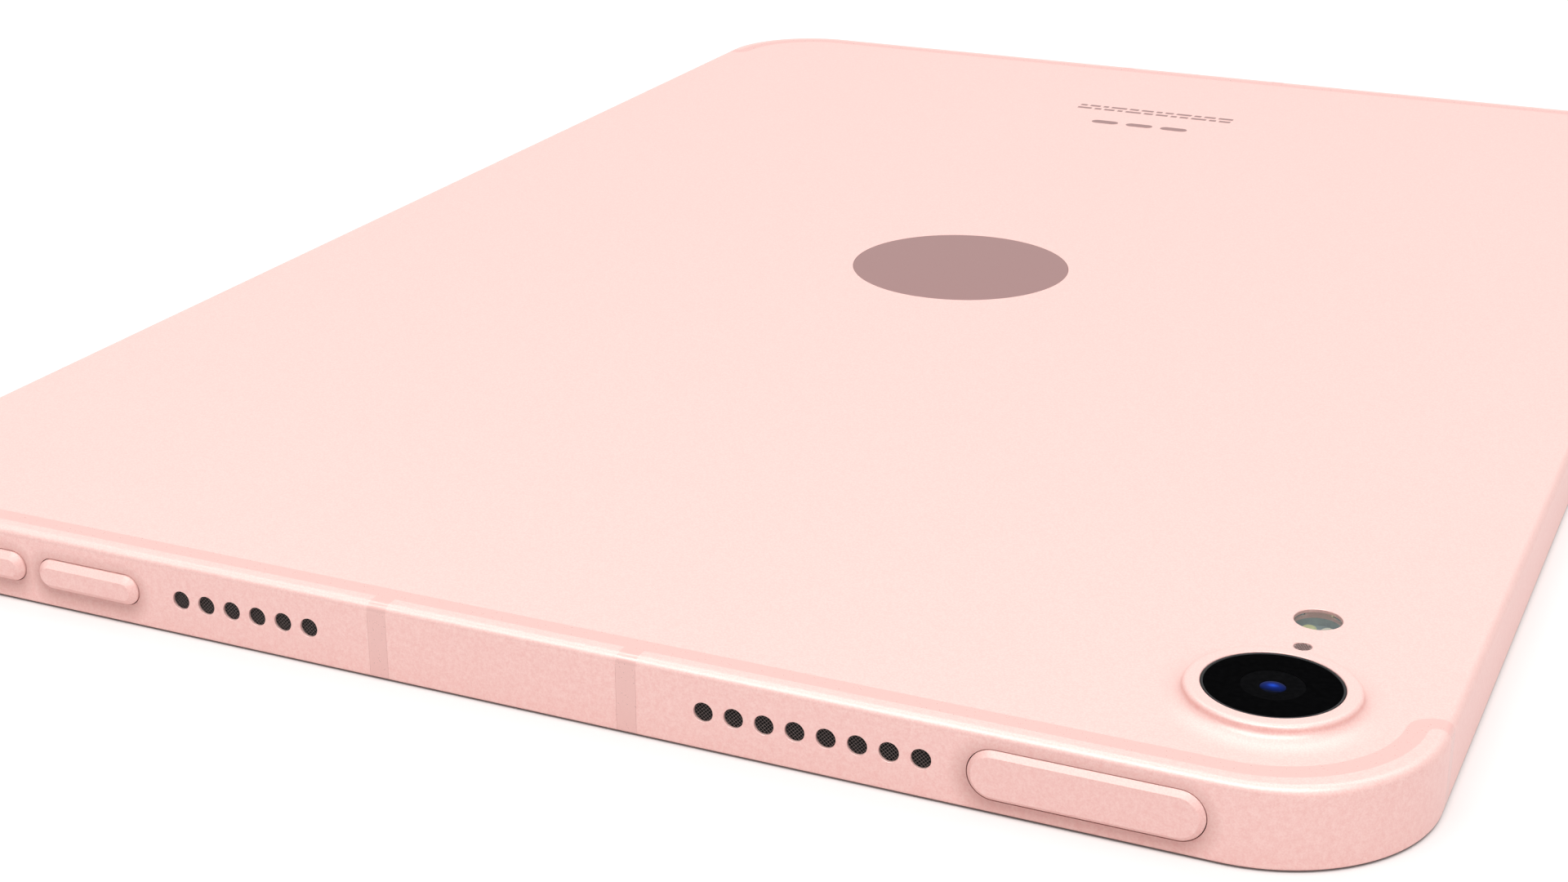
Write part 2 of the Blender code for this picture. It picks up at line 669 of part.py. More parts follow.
def build_boards():
    outline = rectangle(BOARD_X, BOARD_Y)
    board = node("logic_board", prism(bmesh.new(), outline, BOARD_LOW, BOARD_HIGH), "circuit_board",
                 smooth=False)
    holes = bmesh.new()
    for place_xy in SCREW_PLACES:
        cylinder(holes, SCREW_HOLE_RADIUS, BOARD_LOW - 1.0, BOARD_HIGH + 1.0, place_xy, SCREW_SIDES)
    cut(board, holes, "screw_holes")
    node("processor_shield", shield_can(*PROCESSOR_SHIELD), "tinned_steel")
    node("modem_shield", shield_can(*MODEM_SHIELD), "tinned_steel")
    chip = prism(bmesh.new(), rounded_rectangle(CHIP_HALF, 0.4, 1, CHIP_CENTRE), CHIP_LOW, CHIP_HIGH)
    node("processor_chip", chip, "black_plastic", smooth=False)

    outline = rounded_rectangle(USB_BOARD_HALF, BOARD_CORNER, 2, USB_BOARD_CENTRE)
    node("usb_board", prism(bmesh.new(), outline, BOARD_LOW, BOARD_HIGH), "circuit_board")
    # A flat cable from the port's board round the battery to the logic board, in plan
    start_x, start_y = CHARGE_FLEX_START
    far_x = CHARGE_FLEX_RUN_X + CHARGE_FLEX_WIDTH
    far_y = CHARGE_FLEX_TURN_Y + CHARGE_FLEX_WIDTH
    path = [(start_x, start_y), (start_x, CHARGE_FLEX_TURN_Y), (CHARGE_FLEX_RUN_X, CHARGE_FLEX_TURN_Y),
            (CHARGE_FLEX_RUN_X, CHARGE_FLEX_END_Y), (far_x, CHARGE_FLEX_END_Y), (far_x, far_y),
            (start_x + CHARGE_FLEX_WIDTH, far_y), (start_x + CHARGE_FLEX_WIDTH, start_y)]
    cable = prism(bmesh.new(), path, CHARGE_FLEX_LOW, CHARGE_FLEX_LOW + FLEX_SHEET)
    node("charge_flex", cable, "flex", smooth=False)


# ---- charging port ----

def build_port():
    outer_y = HALF_LENGTH - PORT_START
    inner_y = outer_y - PORT_DEPTH
    centre = (0.0, PORT_Z)
    outer = obround(PORT_SHELL_HALF, centre)
    inner = obround(PORT_SHELL_HALF, centre, -PORT_SHELL_WALL)
    rings = [(outer, inner_y), (outer, outer_y), (inner, outer_y), (inner, inner_y)]
    node("usb_c_shell", loft(bmesh.new(), rings, "Y", True), "tinned_steel")

    base = obround(PORT_SHELL_HALF, centre, -PORT_SHELL_WALL - 2 * SEAM)
    base_y = HALF_LENGTH - TONGUE_BASE_START
    tongue = obround(TONGUE_HALF, centre)
    rings = [(base, inner_y), (base, base_y), (tongue, base_y), (tongue, HALF_LENGTH - TONGUE_START)]
    node("usb_c_tongue", loft(bmesh.new(), rings, "Y"), "black_plastic")


# ---- speakers ----

def build_speakers():
    for end, end_name in ((-1, "top"), (1, "bottom")):
        for side, side_name in ((-1, "left"), (1, "right")):
            places = speaker_hole_places(side, end)
            low = min(places) - SPEAKER_BORDER
            high = max(places) + SPEAKER_BORDER
            suffix = end_name + "_" + side_name
            start = end * (HALF_LENGTH - SPEAKER_MESH_START)
            back = end * (HALF_LENGTH - SPEAKER_MESH_START - SPEAKER_MESH_THICKNESS)
            half = (0.5 * (high - low), SPEAKER_MESH_HALF_HEIGHT)
            middle = 0.5 * (low + high)
            outline = rounded_rectangle(half, SPEAKER_MESH_CORNER, 2, (middle, SPEAKER_HOLE_Z))
            mesh = prism(bmesh.new(), outline, min(start, back), max(start, back), "Y")
            node("speaker_mesh_" + suffix, mesh, "dark_steel")

            front = HALF_LENGTH - SPEAKER_BOX_START
            centre_y = end * (front - 0.5 * SPEAKER_BOX_DEPTH)
            box_half = (half[0] + SPEAKER_BOX_WIDER, 0.5 * SPEAKER_BOX_DEPTH)
            plan = rounded_rectangle(box_half, SPEAKER_BOX_CORNER, 2, (middle, centre_y))
            node("speaker_box_" + suffix, prism(bmesh.new(), plan, INNER_LOW, INNER_HIGH), "black_plastic")


# ---- buttons ----

def build_button(name, x, half, proud, chamfer, stem_half):
    """Chamfered cap with a retaining flange and, if stem_half is given, a stem to the switch."""
    centre = (x, EDGE_BUTTON_Z)
    flange_front = -HALF_LENGTH + FLANGE_START
    flange_back = flange_front + FLANGE_THICKNESS
    rings = [(obround(half, centre, -chamfer), -HALF_LENGTH - proud),
             (obround(half, centre), chamfer - proud - HALF_LENGTH),
             (obround(half, centre), flange_front)]
    button = node(name, loft(bmesh.new(), rings, "Y"), "pink_anodised", (x, -HALF_LENGTH, EDGE_BUTTON_Z))
    flange_half = (half[0] + FLANGE_WIDER, half[1] + FLANGE_TALLER)
    flange = rounded_rectangle(flange_half, half[1], ARC_STEPS // 2, centre)
    overlap = 0.2 * FLANGE_THICKNESS
    cut(button, prism(bmesh.new(), flange, flange_front - overlap, flange_back, "Y"), "flange", "UNION")
    if stem_half:
        stem_back = -HALF_LENGTH + SENSOR_START + SENSOR_THICKNESS
        stem = prism(bmesh.new(), obround(stem_half, centre), flange_back - overlap, stem_back, "Y")
        cut(button, stem, "stem", "UNION")


def switch_plate(x_range, dome_places):
    """A bracket plate with a domed switch facing each button."""
    y_low = -HALF_LENGTH + SWITCH_PLATE_START
    plate = bmesh.new()
    box(plate, x_range, (y_low, y_low + SWITCH_PLATE_THICKNESS), SWITCH_PLATE_Z)
    domes = bmesh.new()
    for x in dome_places:
        y_dome = -HALF_LENGTH + SWITCH_DOME_START
        rings = [(circle(0.6 * SWITCH_DOME_RADIUS, DOME_SIDES, (x, EDGE_BUTTON_Z)), y_dome),
                 (circle(SWITCH_DOME_RADIUS, DOME_SIDES, (x, EDGE_BUTTON_Z)), y_low + 0.1)]
        loft(domes, rings, "Y")
    return plate, domes


def build_buttons():
    build_button("top_button", TOP_BUTTON_X, TOP_BUTTON_HALF, TOP_BUTTON_PROUD, TOP_BUTTON_CHAMFER, None)
    sensor = bmesh.new()
    front = -HALF_LENGTH + SENSOR_START
    outline = rounded_rectangle(SENSOR_HALF, 0.4, 2, (TOP_BUTTON_X, EDGE_BUTTON_Z))
    prism(sensor, outline, front, front + SENSOR_THICKNESS, "Y")
    node("fingerprint_sensor", sensor, "black_plastic", (TOP_BUTTON_X, front, EDGE_BUTTON_Z))
    for name, x in zip(("volume_up_button", "volume_down_button"), VOLUME_BUTTON_X):
        build_button(name, x, VOLUME_BUTTON_HALF, VOLUME_BUTTON_PROUD, VOLUME_BUTTON_CHAMFER, STEM_HALF)
    plate, domes = switch_plate(TOP_SWITCH_X, [TOP_BUTTON_X])
    cut(node("top_button_switch", plate, "dark_steel", smooth=False), domes, "dome", "UNION")
    plate, domes = switch_plate(VOLUME_SWITCH_X, VOLUME_BUTTON_X)
    cut(node("volume_switch_bracket", plate, "dark_steel", smooth=False), domes, "domes", "UNION")


# ---- cameras, flash, microphone ----

def build_rear_camera():
    centre = (CAMERA_X, CAMERA_Y)
    top = THICKNESS + CAMERA_BUMP
    bore = WINDOW_RADIUS + 2 * SEAM
    profile = [(bore, PLATE_LOW + 0.1), (CAMERA_SEAT_RADIUS, PLATE_LOW + 0.1), (CAMERA_SEAT_RADIUS, THICKNESS),
               (6.9, THICKNESS + 0.12), (6.5, THICKNESS + 0.36), (6.3, THICKNESS + 0.7),
               (6.25, top - 0.2), (6.05, top), (bore, top)]
    node("camera_trim_ring", turned(bmesh.new(), profile, CAMERA_SIDES, centre, True), "pink_anodised")

    profile = [(WINDOW_RADIUS, WINDOW_LOW), (WINDOW_RADIUS, WINDOW_HIGH - WINDOW_CHAMFER),
               (WINDOW_RADIUS - WINDOW_CHAMFER, WINDOW_HIGH)]
    node("camera_window", turned(bmesh.new(), profile, CAMERA_SIDES, centre), "black_glass")

    profile = [(BARREL_RADIUS, BARREL_LOW), (BARREL_RADIUS, BARREL_HIGH - 0.2), (BARREL_RADIUS - 0.2, BARREL_HIGH),
               (BARREL_MOUTH, BARREL_HIGH), (BARREL_LENS, BARREL_HIGH - 0.8)]
    barrel = turned(bmesh.new(), profile, BARREL_SIDES, centre)
    node("camera_lens_barrel", barrel, "black_plastic", (CAMERA_X, CAMERA_Y, BARREL_LOW))

    outline = rounded_rectangle((HOUSING_HALF, HOUSING_HALF), HOUSING_CORNER, 2, centre)
    housing = node("camera_housing", prism(bmesh.new(), outline, HOUSING_LOW, INNER_HIGH), "black_plastic")
    bore_solid = cylinder(bmesh.new(), BARREL_RADIUS + 0.2, 2.0, INNER_HIGH + 1.0, centre, BARREL_SIDES)
    cut(housing, bore_solid, "bore")
    node("camera_sensor_board", prism(bmesh.new(), outline, INNER_LOW, SENSOR_BOARD_HIGH), "circuit_board")


def build_flash_and_microphone():
    centre = (CAMERA_X, FLASH_Y)
    top = THICKNESS - SEAM
    window = turned(bmesh.new(), [(FLASH_RADIUS, FLASH_WINDOW_LOW), (FLASH_RADIUS, top)], SMALL_SIDES, centre)
    node("flash_window", window, "clear_glass")
    base = bmesh.new()
    box(base, (centre[0] - LED_BASE_HALF, centre[0] + LED_BASE_HALF),
        (centre[1] - LED_BASE_HALF, centre[1] + LED_BASE_HALF), LED_BASE_Z)
    emitters = bmesh.new()
    for sign in (-1, 1):
        x = centre[0] + sign * LED_SPACING
        box(emitters, (x - LED_HALF, x + LED_HALF), (centre[1] - LED_HALF, centre[1] + LED_HALF),
            (LED_BASE_Z[1] - 0.1, LED_HIGH))
    led = node("flash_led_module", base, "diffuser", smooth=False)
    cut(led, emitters, "emitters", "UNION")

    centre = (CAMERA_X, MIC_Y)
    screen = turned(bmesh.new(), [(MIC_RADIUS, MIC_SCREEN_LOW), (MIC_RADIUS, top)], SMALL_SIDES, centre)
    node("rear_microphone_mesh", screen, "dark_steel")
    case = bmesh.new()
    box(case, (centre[0] - MIC_CASE_HALF[0], centre[0] + MIC_CASE_HALF[0]),
        (centre[1] - MIC_CASE_HALF[1], centre[1] + MIC_CASE_HALF[1]), MIC_CASE_Z)
    microphone = node("rear_microphone", case, "tinned_steel", smooth=False)
    port = cylinder(bmesh.new(), MIC_PORT_RADIUS, MIC_CASE_Z[0] + 0.5, MIC_CASE_Z[1] + 1.0, centre, 8)
    cut(microphone, port, "sound_port")


def build_front_camera():
    outline = rounded_rectangle((FRONT_CAMERA_HALF, FRONT_CAMERA_HALF), 0.6, 2, FRONT_CAMERA_CENTRE)
    case = prism(bmesh.new(), outline, FRONT_CAMERA_Z[0], FRONT_CAMERA_Z[1])
    camera = node("front_camera", case, "black_plastic")
    profile = [(FRONT_SNOUT_RADIUS - 0.3, FRONT_SNOUT_LOW), (FRONT_SNOUT_RADIUS, FRONT_SNOUT_LOW + 0.18),
               (FRONT_SNOUT_RADIUS, FRONT_CAMERA_Z[0] + 0.3)]
    snout = turned(bmesh.new(), profile, 14, FRONT_CAMERA_CENTRE)
    cut(camera, snout, "snout", "UNION")


# ---- card tray ----

def build_card_tray():
    outer_x = HALF_WIDTH
    cap_inner = outer_x - TRAY_CAP_THICKNESS
    origin = (outer_x, TRAY_Y, TRAY_Z)
    cap = prism(bmesh.new(), obround(TRAY_CAP_HALF, (TRAY_Y, TRAY_Z)), cap_inner, outer_x, "X")
    tray = node("sim_tray", cap, "pink_anodised", origin)
    plate = bmesh.new()
    z_range = (TRAY_Z - TRAY_PLATE_HALF_HEIGHT, TRAY_Z + TRAY_PLATE_HALF_HEIGHT)
    box(plate, (TRAY_INNER_X, cap_inner + 0.5), TRAY_PLATE_Y, z_range)
    cut(tray, plate, "plate", "UNION")
    pocket = bmesh.new()
    box(pocket, CARD_POCKET_X, CARD_POCKET_Y, (TRAY_Z - 2.0, TRAY_Z + 2.0))
    cylinder(pocket, EJECT_HOLE_RADIUS, cap_inner - 1.0, outer_x + 1.0, (EJECT_Y, TRAY_Z), 10, "X")
    cut(tray, pocket, "card_pocket")

    # The reader is a channel over the tray, seen here as its profile in Y and Z
    y_low = TRAY_PLATE_Y[0] - READER_GAP
    y_high = TRAY_PLATE_Y[1] + READER_GAP
    sheet = READER_SHEET
    top = READER_TOP
    profile = [(y_low, INNER_LOW), (y_low + sheet, INNER_LOW), (y_low + sheet, top - sheet),
               (y_high - sheet, top - sheet), (y_high - sheet, INNER_LOW), (y_high, INNER_LOW),
               (y_high, top), (y_low, top)]
    reader_end = TRAY_INNER_X - READER_END_GAP
    reader = prism(bmesh.new(), profile, reader_end, cap_inner - READER_END_GAP, "X")
    reader_node = node("sim_reader", reader, "tinned_steel", smooth=False)
    tab = bmesh.new()
    box(tab, (PIVOT_X - TAB_HALF[0], reader_end + 0.2), (PIVOT_Y - TAB_HALF[1], PIVOT_Y + TAB_HALF[1]),
        (top - sheet + 0.02, top - 0.02))
    cut(reader_node, tab, "pivot_tab", "UNION")
    pin = cylinder(bmesh.new(), PIVOT_PIN_RADIUS, TRAY_Z - 0.6, top - 0.1, (PIVOT_X, PIVOT_Y), 8)
    cut(reader_node, pin, "pivot_pin", "UNION")

    rod = cylinder(bmesh.new(), ROD_RADIUS, ROD_X[0], ROD_X[1], (EJECT_Y, TRAY_Z), 10, "X")
    node("sim_eject_rod", rod, "dark_steel", (ROD_X[1], EJECT_Y, TRAY_Z))
    lever = bmesh.new()
    box(lever, LEVER_X, LEVER_Y, (TRAY_Z - LEVER_HALF_HEIGHT, TRAY_Z + LEVER_HALF_HEIGHT))
    lever_node = node("sim_eject_lever", lever, "dark_steel", (PIVOT_X, PIVOT_Y, TRAY_Z), smooth=False)
    hub = bmesh.new()
    hub_half_height = LEVER_HALF_HEIGHT - SEAM
    cylinder(hub, PIVOT_HUB_RADIUS, TRAY_Z - hub_half_height, TRAY_Z + hub_half_height, (PIVOT_X, PIVOT_Y), 12)
    cut(lever_node, hub, "hub", "UNION")
    pivot = cylinder(bmesh.new(), PIVOT_HOLE_RADIUS, TRAY_Z - 1.0, TRAY_Z + 1.0, (PIVOT_X, PIVOT_Y), 8)
    cut(lever_node, pivot, "pivot_hole")


# ---- stylus charger and magnets ----

def build_stylus_charger():
    window = obround(STYLUS_HALF, (0.0, STYLUS_Z))
    solid = prism(bmesh.new(), window, HALF_WIDTH - WALL, HALF_WIDTH - 0.2 * SEAM, "X")
    node("stylus_window", solid, "pink_plastic")
    outer = obround(COIL_HALF, (0.0, COIL_Z))
    inner = obround(COIL_HALF, (0.0, COIL_Z), -COIL_WIDTH)
    rings = [(outer, COIL_X[0]), (outer, COIL_X[1]), (inner, COIL_X[1]), (inner, COIL_X[0])]
    node("stylus_coil", loft(bmesh.new(), rings, "X", True), "copper_coil")


def build_magnets():
    other_side = (-MAGNET_X[1], -MAGNET_X[0])
    for name, x_range, y_range in (("stylus_magnet", MAGNET_X, STYLUS_MAGNET_Y),
                                   ("cover_magnet", other_side, COVER_MAGNET_Y)):
        solid = box(bmesh.new(), x_range, y_range, (INNER_LOW, MAGNET_HIGH))
        node(name, solid, "magnet", smooth=False)


def build_tablet():
    clear_scene()
    build_rear_shell()
    build_rails()
    build_bands()
    build_emblem()
    build_display()
    build_battery()
    build_boards()
    build_screws()
    build_port()
    build_speakers()
    build_buttons()
    build_rear_camera()
    build_flash_and_microphone()
    build_front_camera()
    build_card_tray()
    build_stylus_charger()
    build_magnets()


build_tablet()
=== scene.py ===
"""Looks for the pink tablet computer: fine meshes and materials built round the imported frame.

The frame is in metres. Sizes below are in millimetres unless a comment says otherwise, and
the MM factor turns them into metres. X is across the tablet, Y along it, and Z rises from the display
face on the floor to the metal back. The edge with the buttons is at -Y.
"""
import json
import math

import bmesh
import bpy
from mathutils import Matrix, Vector


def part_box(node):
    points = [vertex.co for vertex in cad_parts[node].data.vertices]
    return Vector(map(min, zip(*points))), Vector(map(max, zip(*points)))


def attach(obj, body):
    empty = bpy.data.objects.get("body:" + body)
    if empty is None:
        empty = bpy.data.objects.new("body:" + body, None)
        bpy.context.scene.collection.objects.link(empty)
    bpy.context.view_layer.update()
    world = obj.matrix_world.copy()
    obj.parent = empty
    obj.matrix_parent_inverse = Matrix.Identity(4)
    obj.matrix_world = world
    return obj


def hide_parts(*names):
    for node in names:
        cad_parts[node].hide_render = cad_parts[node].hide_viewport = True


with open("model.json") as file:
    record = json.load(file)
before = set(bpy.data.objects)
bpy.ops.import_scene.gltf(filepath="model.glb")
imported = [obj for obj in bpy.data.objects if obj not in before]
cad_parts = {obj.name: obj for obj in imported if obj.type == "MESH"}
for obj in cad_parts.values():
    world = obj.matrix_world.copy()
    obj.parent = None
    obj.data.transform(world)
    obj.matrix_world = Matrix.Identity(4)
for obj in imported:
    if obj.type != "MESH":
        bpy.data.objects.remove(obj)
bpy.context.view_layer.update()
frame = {"nodes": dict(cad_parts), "record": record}

MM = 0.001
BODY = "tablet_body"


def box_mm(node):
    """Lowest and highest corner of a CAD node, in millimetres."""
    low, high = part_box(node)
    return low / MM, high / MM


def centre_mm(node):
    low, high = box_mm(node)
    return (low + high) / 2


def end_view(node, across):
    """Half size and centre of a CAD node seen from an edge: across X (0) or Y (1), and up."""
    low, high = box_mm(node)
    half = ((high[across] - low[across]) / 2, (high.z - low.z) / 2)
    return half, ((low[across] + high[across]) / 2, (low.z + high.z) / 2)


def button_size(node):
    """Half size and centre of a button's cap in X and Z: its box without the flange."""
    half, centre = end_view(node, 0)
    return (half[0] - FLANGE_OVER[0], half[1] - FLANGE_OVER[1]), centre


# ---- sizes read from the frame ----
SHELL_HIGH = box_mm("rear_shell")[1]
RAIL_LOW, RAIL_HIGH = box_mm("top_rail_centre")
HALF_WIDTH = SHELL_HIGH.x
HALF_LENGTH = -RAIL_LOW.y
THICKNESS = RAIL_HIGH.z
RIM_LOW = RAIL_LOW.z
WINDOW = box_mm("camera_window")
CAMERA = centre_mm("camera_window").xy
BUMP_TOP = box_mm("camera_trim_ring")[1].z
EMBLEM = box_mm("rear_emblem")
EMBLEM_SIDES = 160
GLASS = box_mm("display_glass")

# ---- fine sizes of the metal body ----
CORNER_RADIUS = 12.5
CORNER_STEPS = 40
BACK_FILLET = 0.8
BACK_STEPS = 10
RIM_FILLET = 0.22
RIM_STEPS = 4
WALL = 1.0
PLATE_LOW = 5.4
BEYOND = 5.0

# ---- plastic bands: offsets from the metal's edge ----
BAND_NEAR = 1.5
BAND_FAR = 3.0
BAND_CORNER = 12.9
BAND_TURN = (66.5, -85.15)
BAND_TURN_OFFSET = 0.9
SPLIT_NEAR = 9.83
SPLIT_FAR = 11.47

# ---- speaker holes ----
HOLE_FIRST = 16.9
HOLE_PITCH = 2.4
HOLE_RADIUS = 0.77
HOLE_CHAMFER = 0.03
HOLE_Z = 3.15
HOLE_SIDES = 40
WEAVE_DEPTH = 0.2
WIRE_PITCH = 0.215
WIRE_RADIUS = 0.010
WIRE_SIDES = 6
STRIP_CORNER = 0.5

# ---- port and card tray ----
PORT_GAP = 0.06
PORT_CHAMFER = 0.12
PORT_LIP = 0.08
SHELL_WALL = 0.3
TONGUE_HALF = 0.35
CONTACTS = 12
CONTACT_PITCH = 0.5
TRAY_CAP = 1.05
TRAY_PLATE_Y = 57.7
TRAY_PLATE_HALF = 5.5
TRAY_PLATE_THICK = 0.4
CARD_HALF = (4.5, 4.4)
CARD_LEDGE = 0.5
EJECT_Y = 65.1

# ---- buttons and gasket ----
FLANGE_OVER = (0.5, 0.2)
BUTTON_GAP = 0.07
GASKET_WIDTH = 0.26

AXIS_ORDER = {"X": (2, 0, 1), "Y": (0, 2, 1), "Z": (0, 1, 2)}


# ======== outlines ========

def arc(centre, radius, start, end, steps):
    points = []
    for step in range(steps + 1):
        angle = math.radians(start + (end - start) * step / steps)
        points.append((centre[0] + radius * math.cos(angle), centre[1] + radius * math.sin(angle)))
    return points


def circle(radius, sides, centre=(0.0, 0.0)):
    return arc(centre, radius, 0.0, 360.0, sides)[:-1]


def rounded_rectangle(half, radius, steps, centre=(0.0, 0.0)):
    points = []
    for quarter, (sign_a, sign_b) in enumerate(((1, 1), (-1, 1), (-1, -1), (1, -1))):
        corner = (centre[0] + sign_a * (half[0] - radius), centre[1] + sign_b * (half[1] - radius))
        points += arc(corner, radius, 90.0 * quarter, 90.0 * quarter + 90.0, steps)
    return points


def obround(half, centre=(0.0, 0.0), grow=0.0, steps=24):
    end = half[0] - half[1]
    radius = half[1] + grow
    right = arc((centre[0] + end, centre[1]), radius, -90.0, 90.0, steps)
    left = arc((centre[0] - end, centre[1]), radius, 90.0, 270.0, steps)
    return right + left


def rectangle(x_range, y_range):
    return [(x_range[0], y_range[0]), (x_range[1], y_range[0]),
            (x_range[1], y_range[1]), (x_range[0], y_range[1])]


def mirrored(outline, sign_x, sign_y):
    points = [(sign_x * x, sign_y * y) for x, y in outline]
    return points if sign_x * sign_y > 0 else points[::-1]


def body_outline(inset):
    half = (HALF_WIDTH - inset, HALF_LENGTH - inset)
    return rounded_rectangle(half, CORNER_RADIUS - inset, CORNER_STEPS)


def band_edge(offset):
    """One edge of the band at the -Y end: along the end, round the corner, out of the side."""
    corner = (HALF_WIDTH - BAND_CORNER, BAND_CORNER - HALF_LENGTH)
    turn_radius = offset - BAND_TURN_OFFSET
    points = arc(corner, BAND_CORNER - offset, -90.0, -2.5, CORNER_STEPS)
    points += arc(BAND_TURN, turn_radius, 180.0, 90.0, 16)
    points.append((HALF_WIDTH + BEYOND, turn_radius + BAND_TURN[1]))
    return points


# ======== meshes ========

def place(a, b, level, axis):
    values = (a, b, level)
    return tuple(values[index] * MM for index in AXIS_ORDER[axis])


def loft(solid, rings, axis="Z", closed=False):
    """Skin a list of (outline, level) rings. A closed loft joins its last ring to its first."""
    loops = []
    for outline, level in rings:
        loops.append([solid.verts.new(place(a, b, level, axis)) for a, b in outline])
    count = len(loops[0])
    pairs = list(zip(loops[:-1], loops[1:]))
    if closed:
        pairs.append((loops[-1], loops[0]))
    for lower, upper in pairs:
        for index in range(count):
            after = (index + 1) % count
            solid.faces.new((lower[index], lower[after], upper[after], upper[index]))
    if not closed:
        solid.faces.new(loops[0][::-1])
        solid.faces.new(loops[-1])
    return solid


def prism(solid, outline, low, high, axis="Z"):
    return loft(solid, [(outline, low), (outline, high)], axis)


def box(solid, x_range, y_range, z_range):
    return prism(solid, rectangle(x_range, y_range), z_range[0], z_range[1])


def turned(solid, profile, sides, centre, closed=False, axis="Z"):
    """A solid of revolution, from (radius, level) points along the axis."""
    rings = [(circle(radius, sides, centre), level) for radius, level in profile]
    return loft(solid, rings, axis, closed)


def mesh_object(name, solid):
    bmesh.ops.recalc_face_normals(solid, faces=solid.faces)
    mesh = bpy.data.meshes.new(name)
    solid.to_mesh(mesh)
    solid.free()
    item = bpy.data.objects.new(name, mesh)
    bpy.context.scene.collection.objects.link(item)
    return item


def turned_object(name, profile, sides, centre, closed=False):
    return mesh_object(name, turned(bmesh.new(), profile, sides, centre, closed))


def loft_object(name, rings, axis="Z", closed=False):
    return mesh_object(name, loft(bmesh.new(), rings, axis, closed))


def carve(item, *steps):
    """Run Booleans on an object, each step an (operation, solid) pair, and keep the result."""
    helpers = []
    for operation, solid in steps:
        helper = mesh_object("helper", solid)
        helpers.append(helper)
        modifier = item.modifiers.new("carve", "BOOLEAN")
        modifier.operation = operation
        modifier.solver = "EXACT"
        modifier.object = helper
    keep_result(item)
    for helper in helpers:
        mesh = helper.data
        bpy.data.objects.remove(helper, do_unlink=True)
        bpy.data.meshes.remove(mesh)
    return item


def keep_result(item):
    """Replace an object's mesh by what its modifiers make of it."""
    bpy.context.view_layer.update()
    evaluated = item.evaluated_get(bpy.context.evaluated_depsgraph_get())
    mesh = bpy.data.meshes.new_from_object(evaluated)
    old = item.data
    item.modifiers.clear()
    item.data = mesh
    mesh.name = item.name
    bpy.data.meshes.remove(old)
    return item


def soften(item, angle=32.0):
    """Smooth shading with sharp edges kept, and normals that follow the large faces."""
    item.data.shade_smooth()
    item.data.set_sharp_from_angle(angle=math.radians(angle))
    modifier = item.modifiers.new("normals", "WEIGHTED_NORMAL")
    modifier.mode = "FACE_AREA"
    modifier.weight = 100
    modifier.keep_sharp = True
    return item


def bevel(item, width, segments=3, angle=40.0):
    modifier = item.modifiers.new("bevel", "BEVEL")
    modifier.width = width * MM
    modifier.segments = segments
    modifier.limit_method = "ANGLE"
    modifier.angle_limit = math.radians(angle)
    modifier.harden_normals = False
    return keep_result(item)


def piece(item, material, body=BODY, replaces=(), angle=32.0):
    """Give a finished mesh its material, its body and the nodes it stands for."""
    item.data.materials.clear()
    item.data.materials.append(material)
    soften(item, angle)
    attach(item, body)
    if replaces:
        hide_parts(*replaces)
    return item


# ======== materials ========

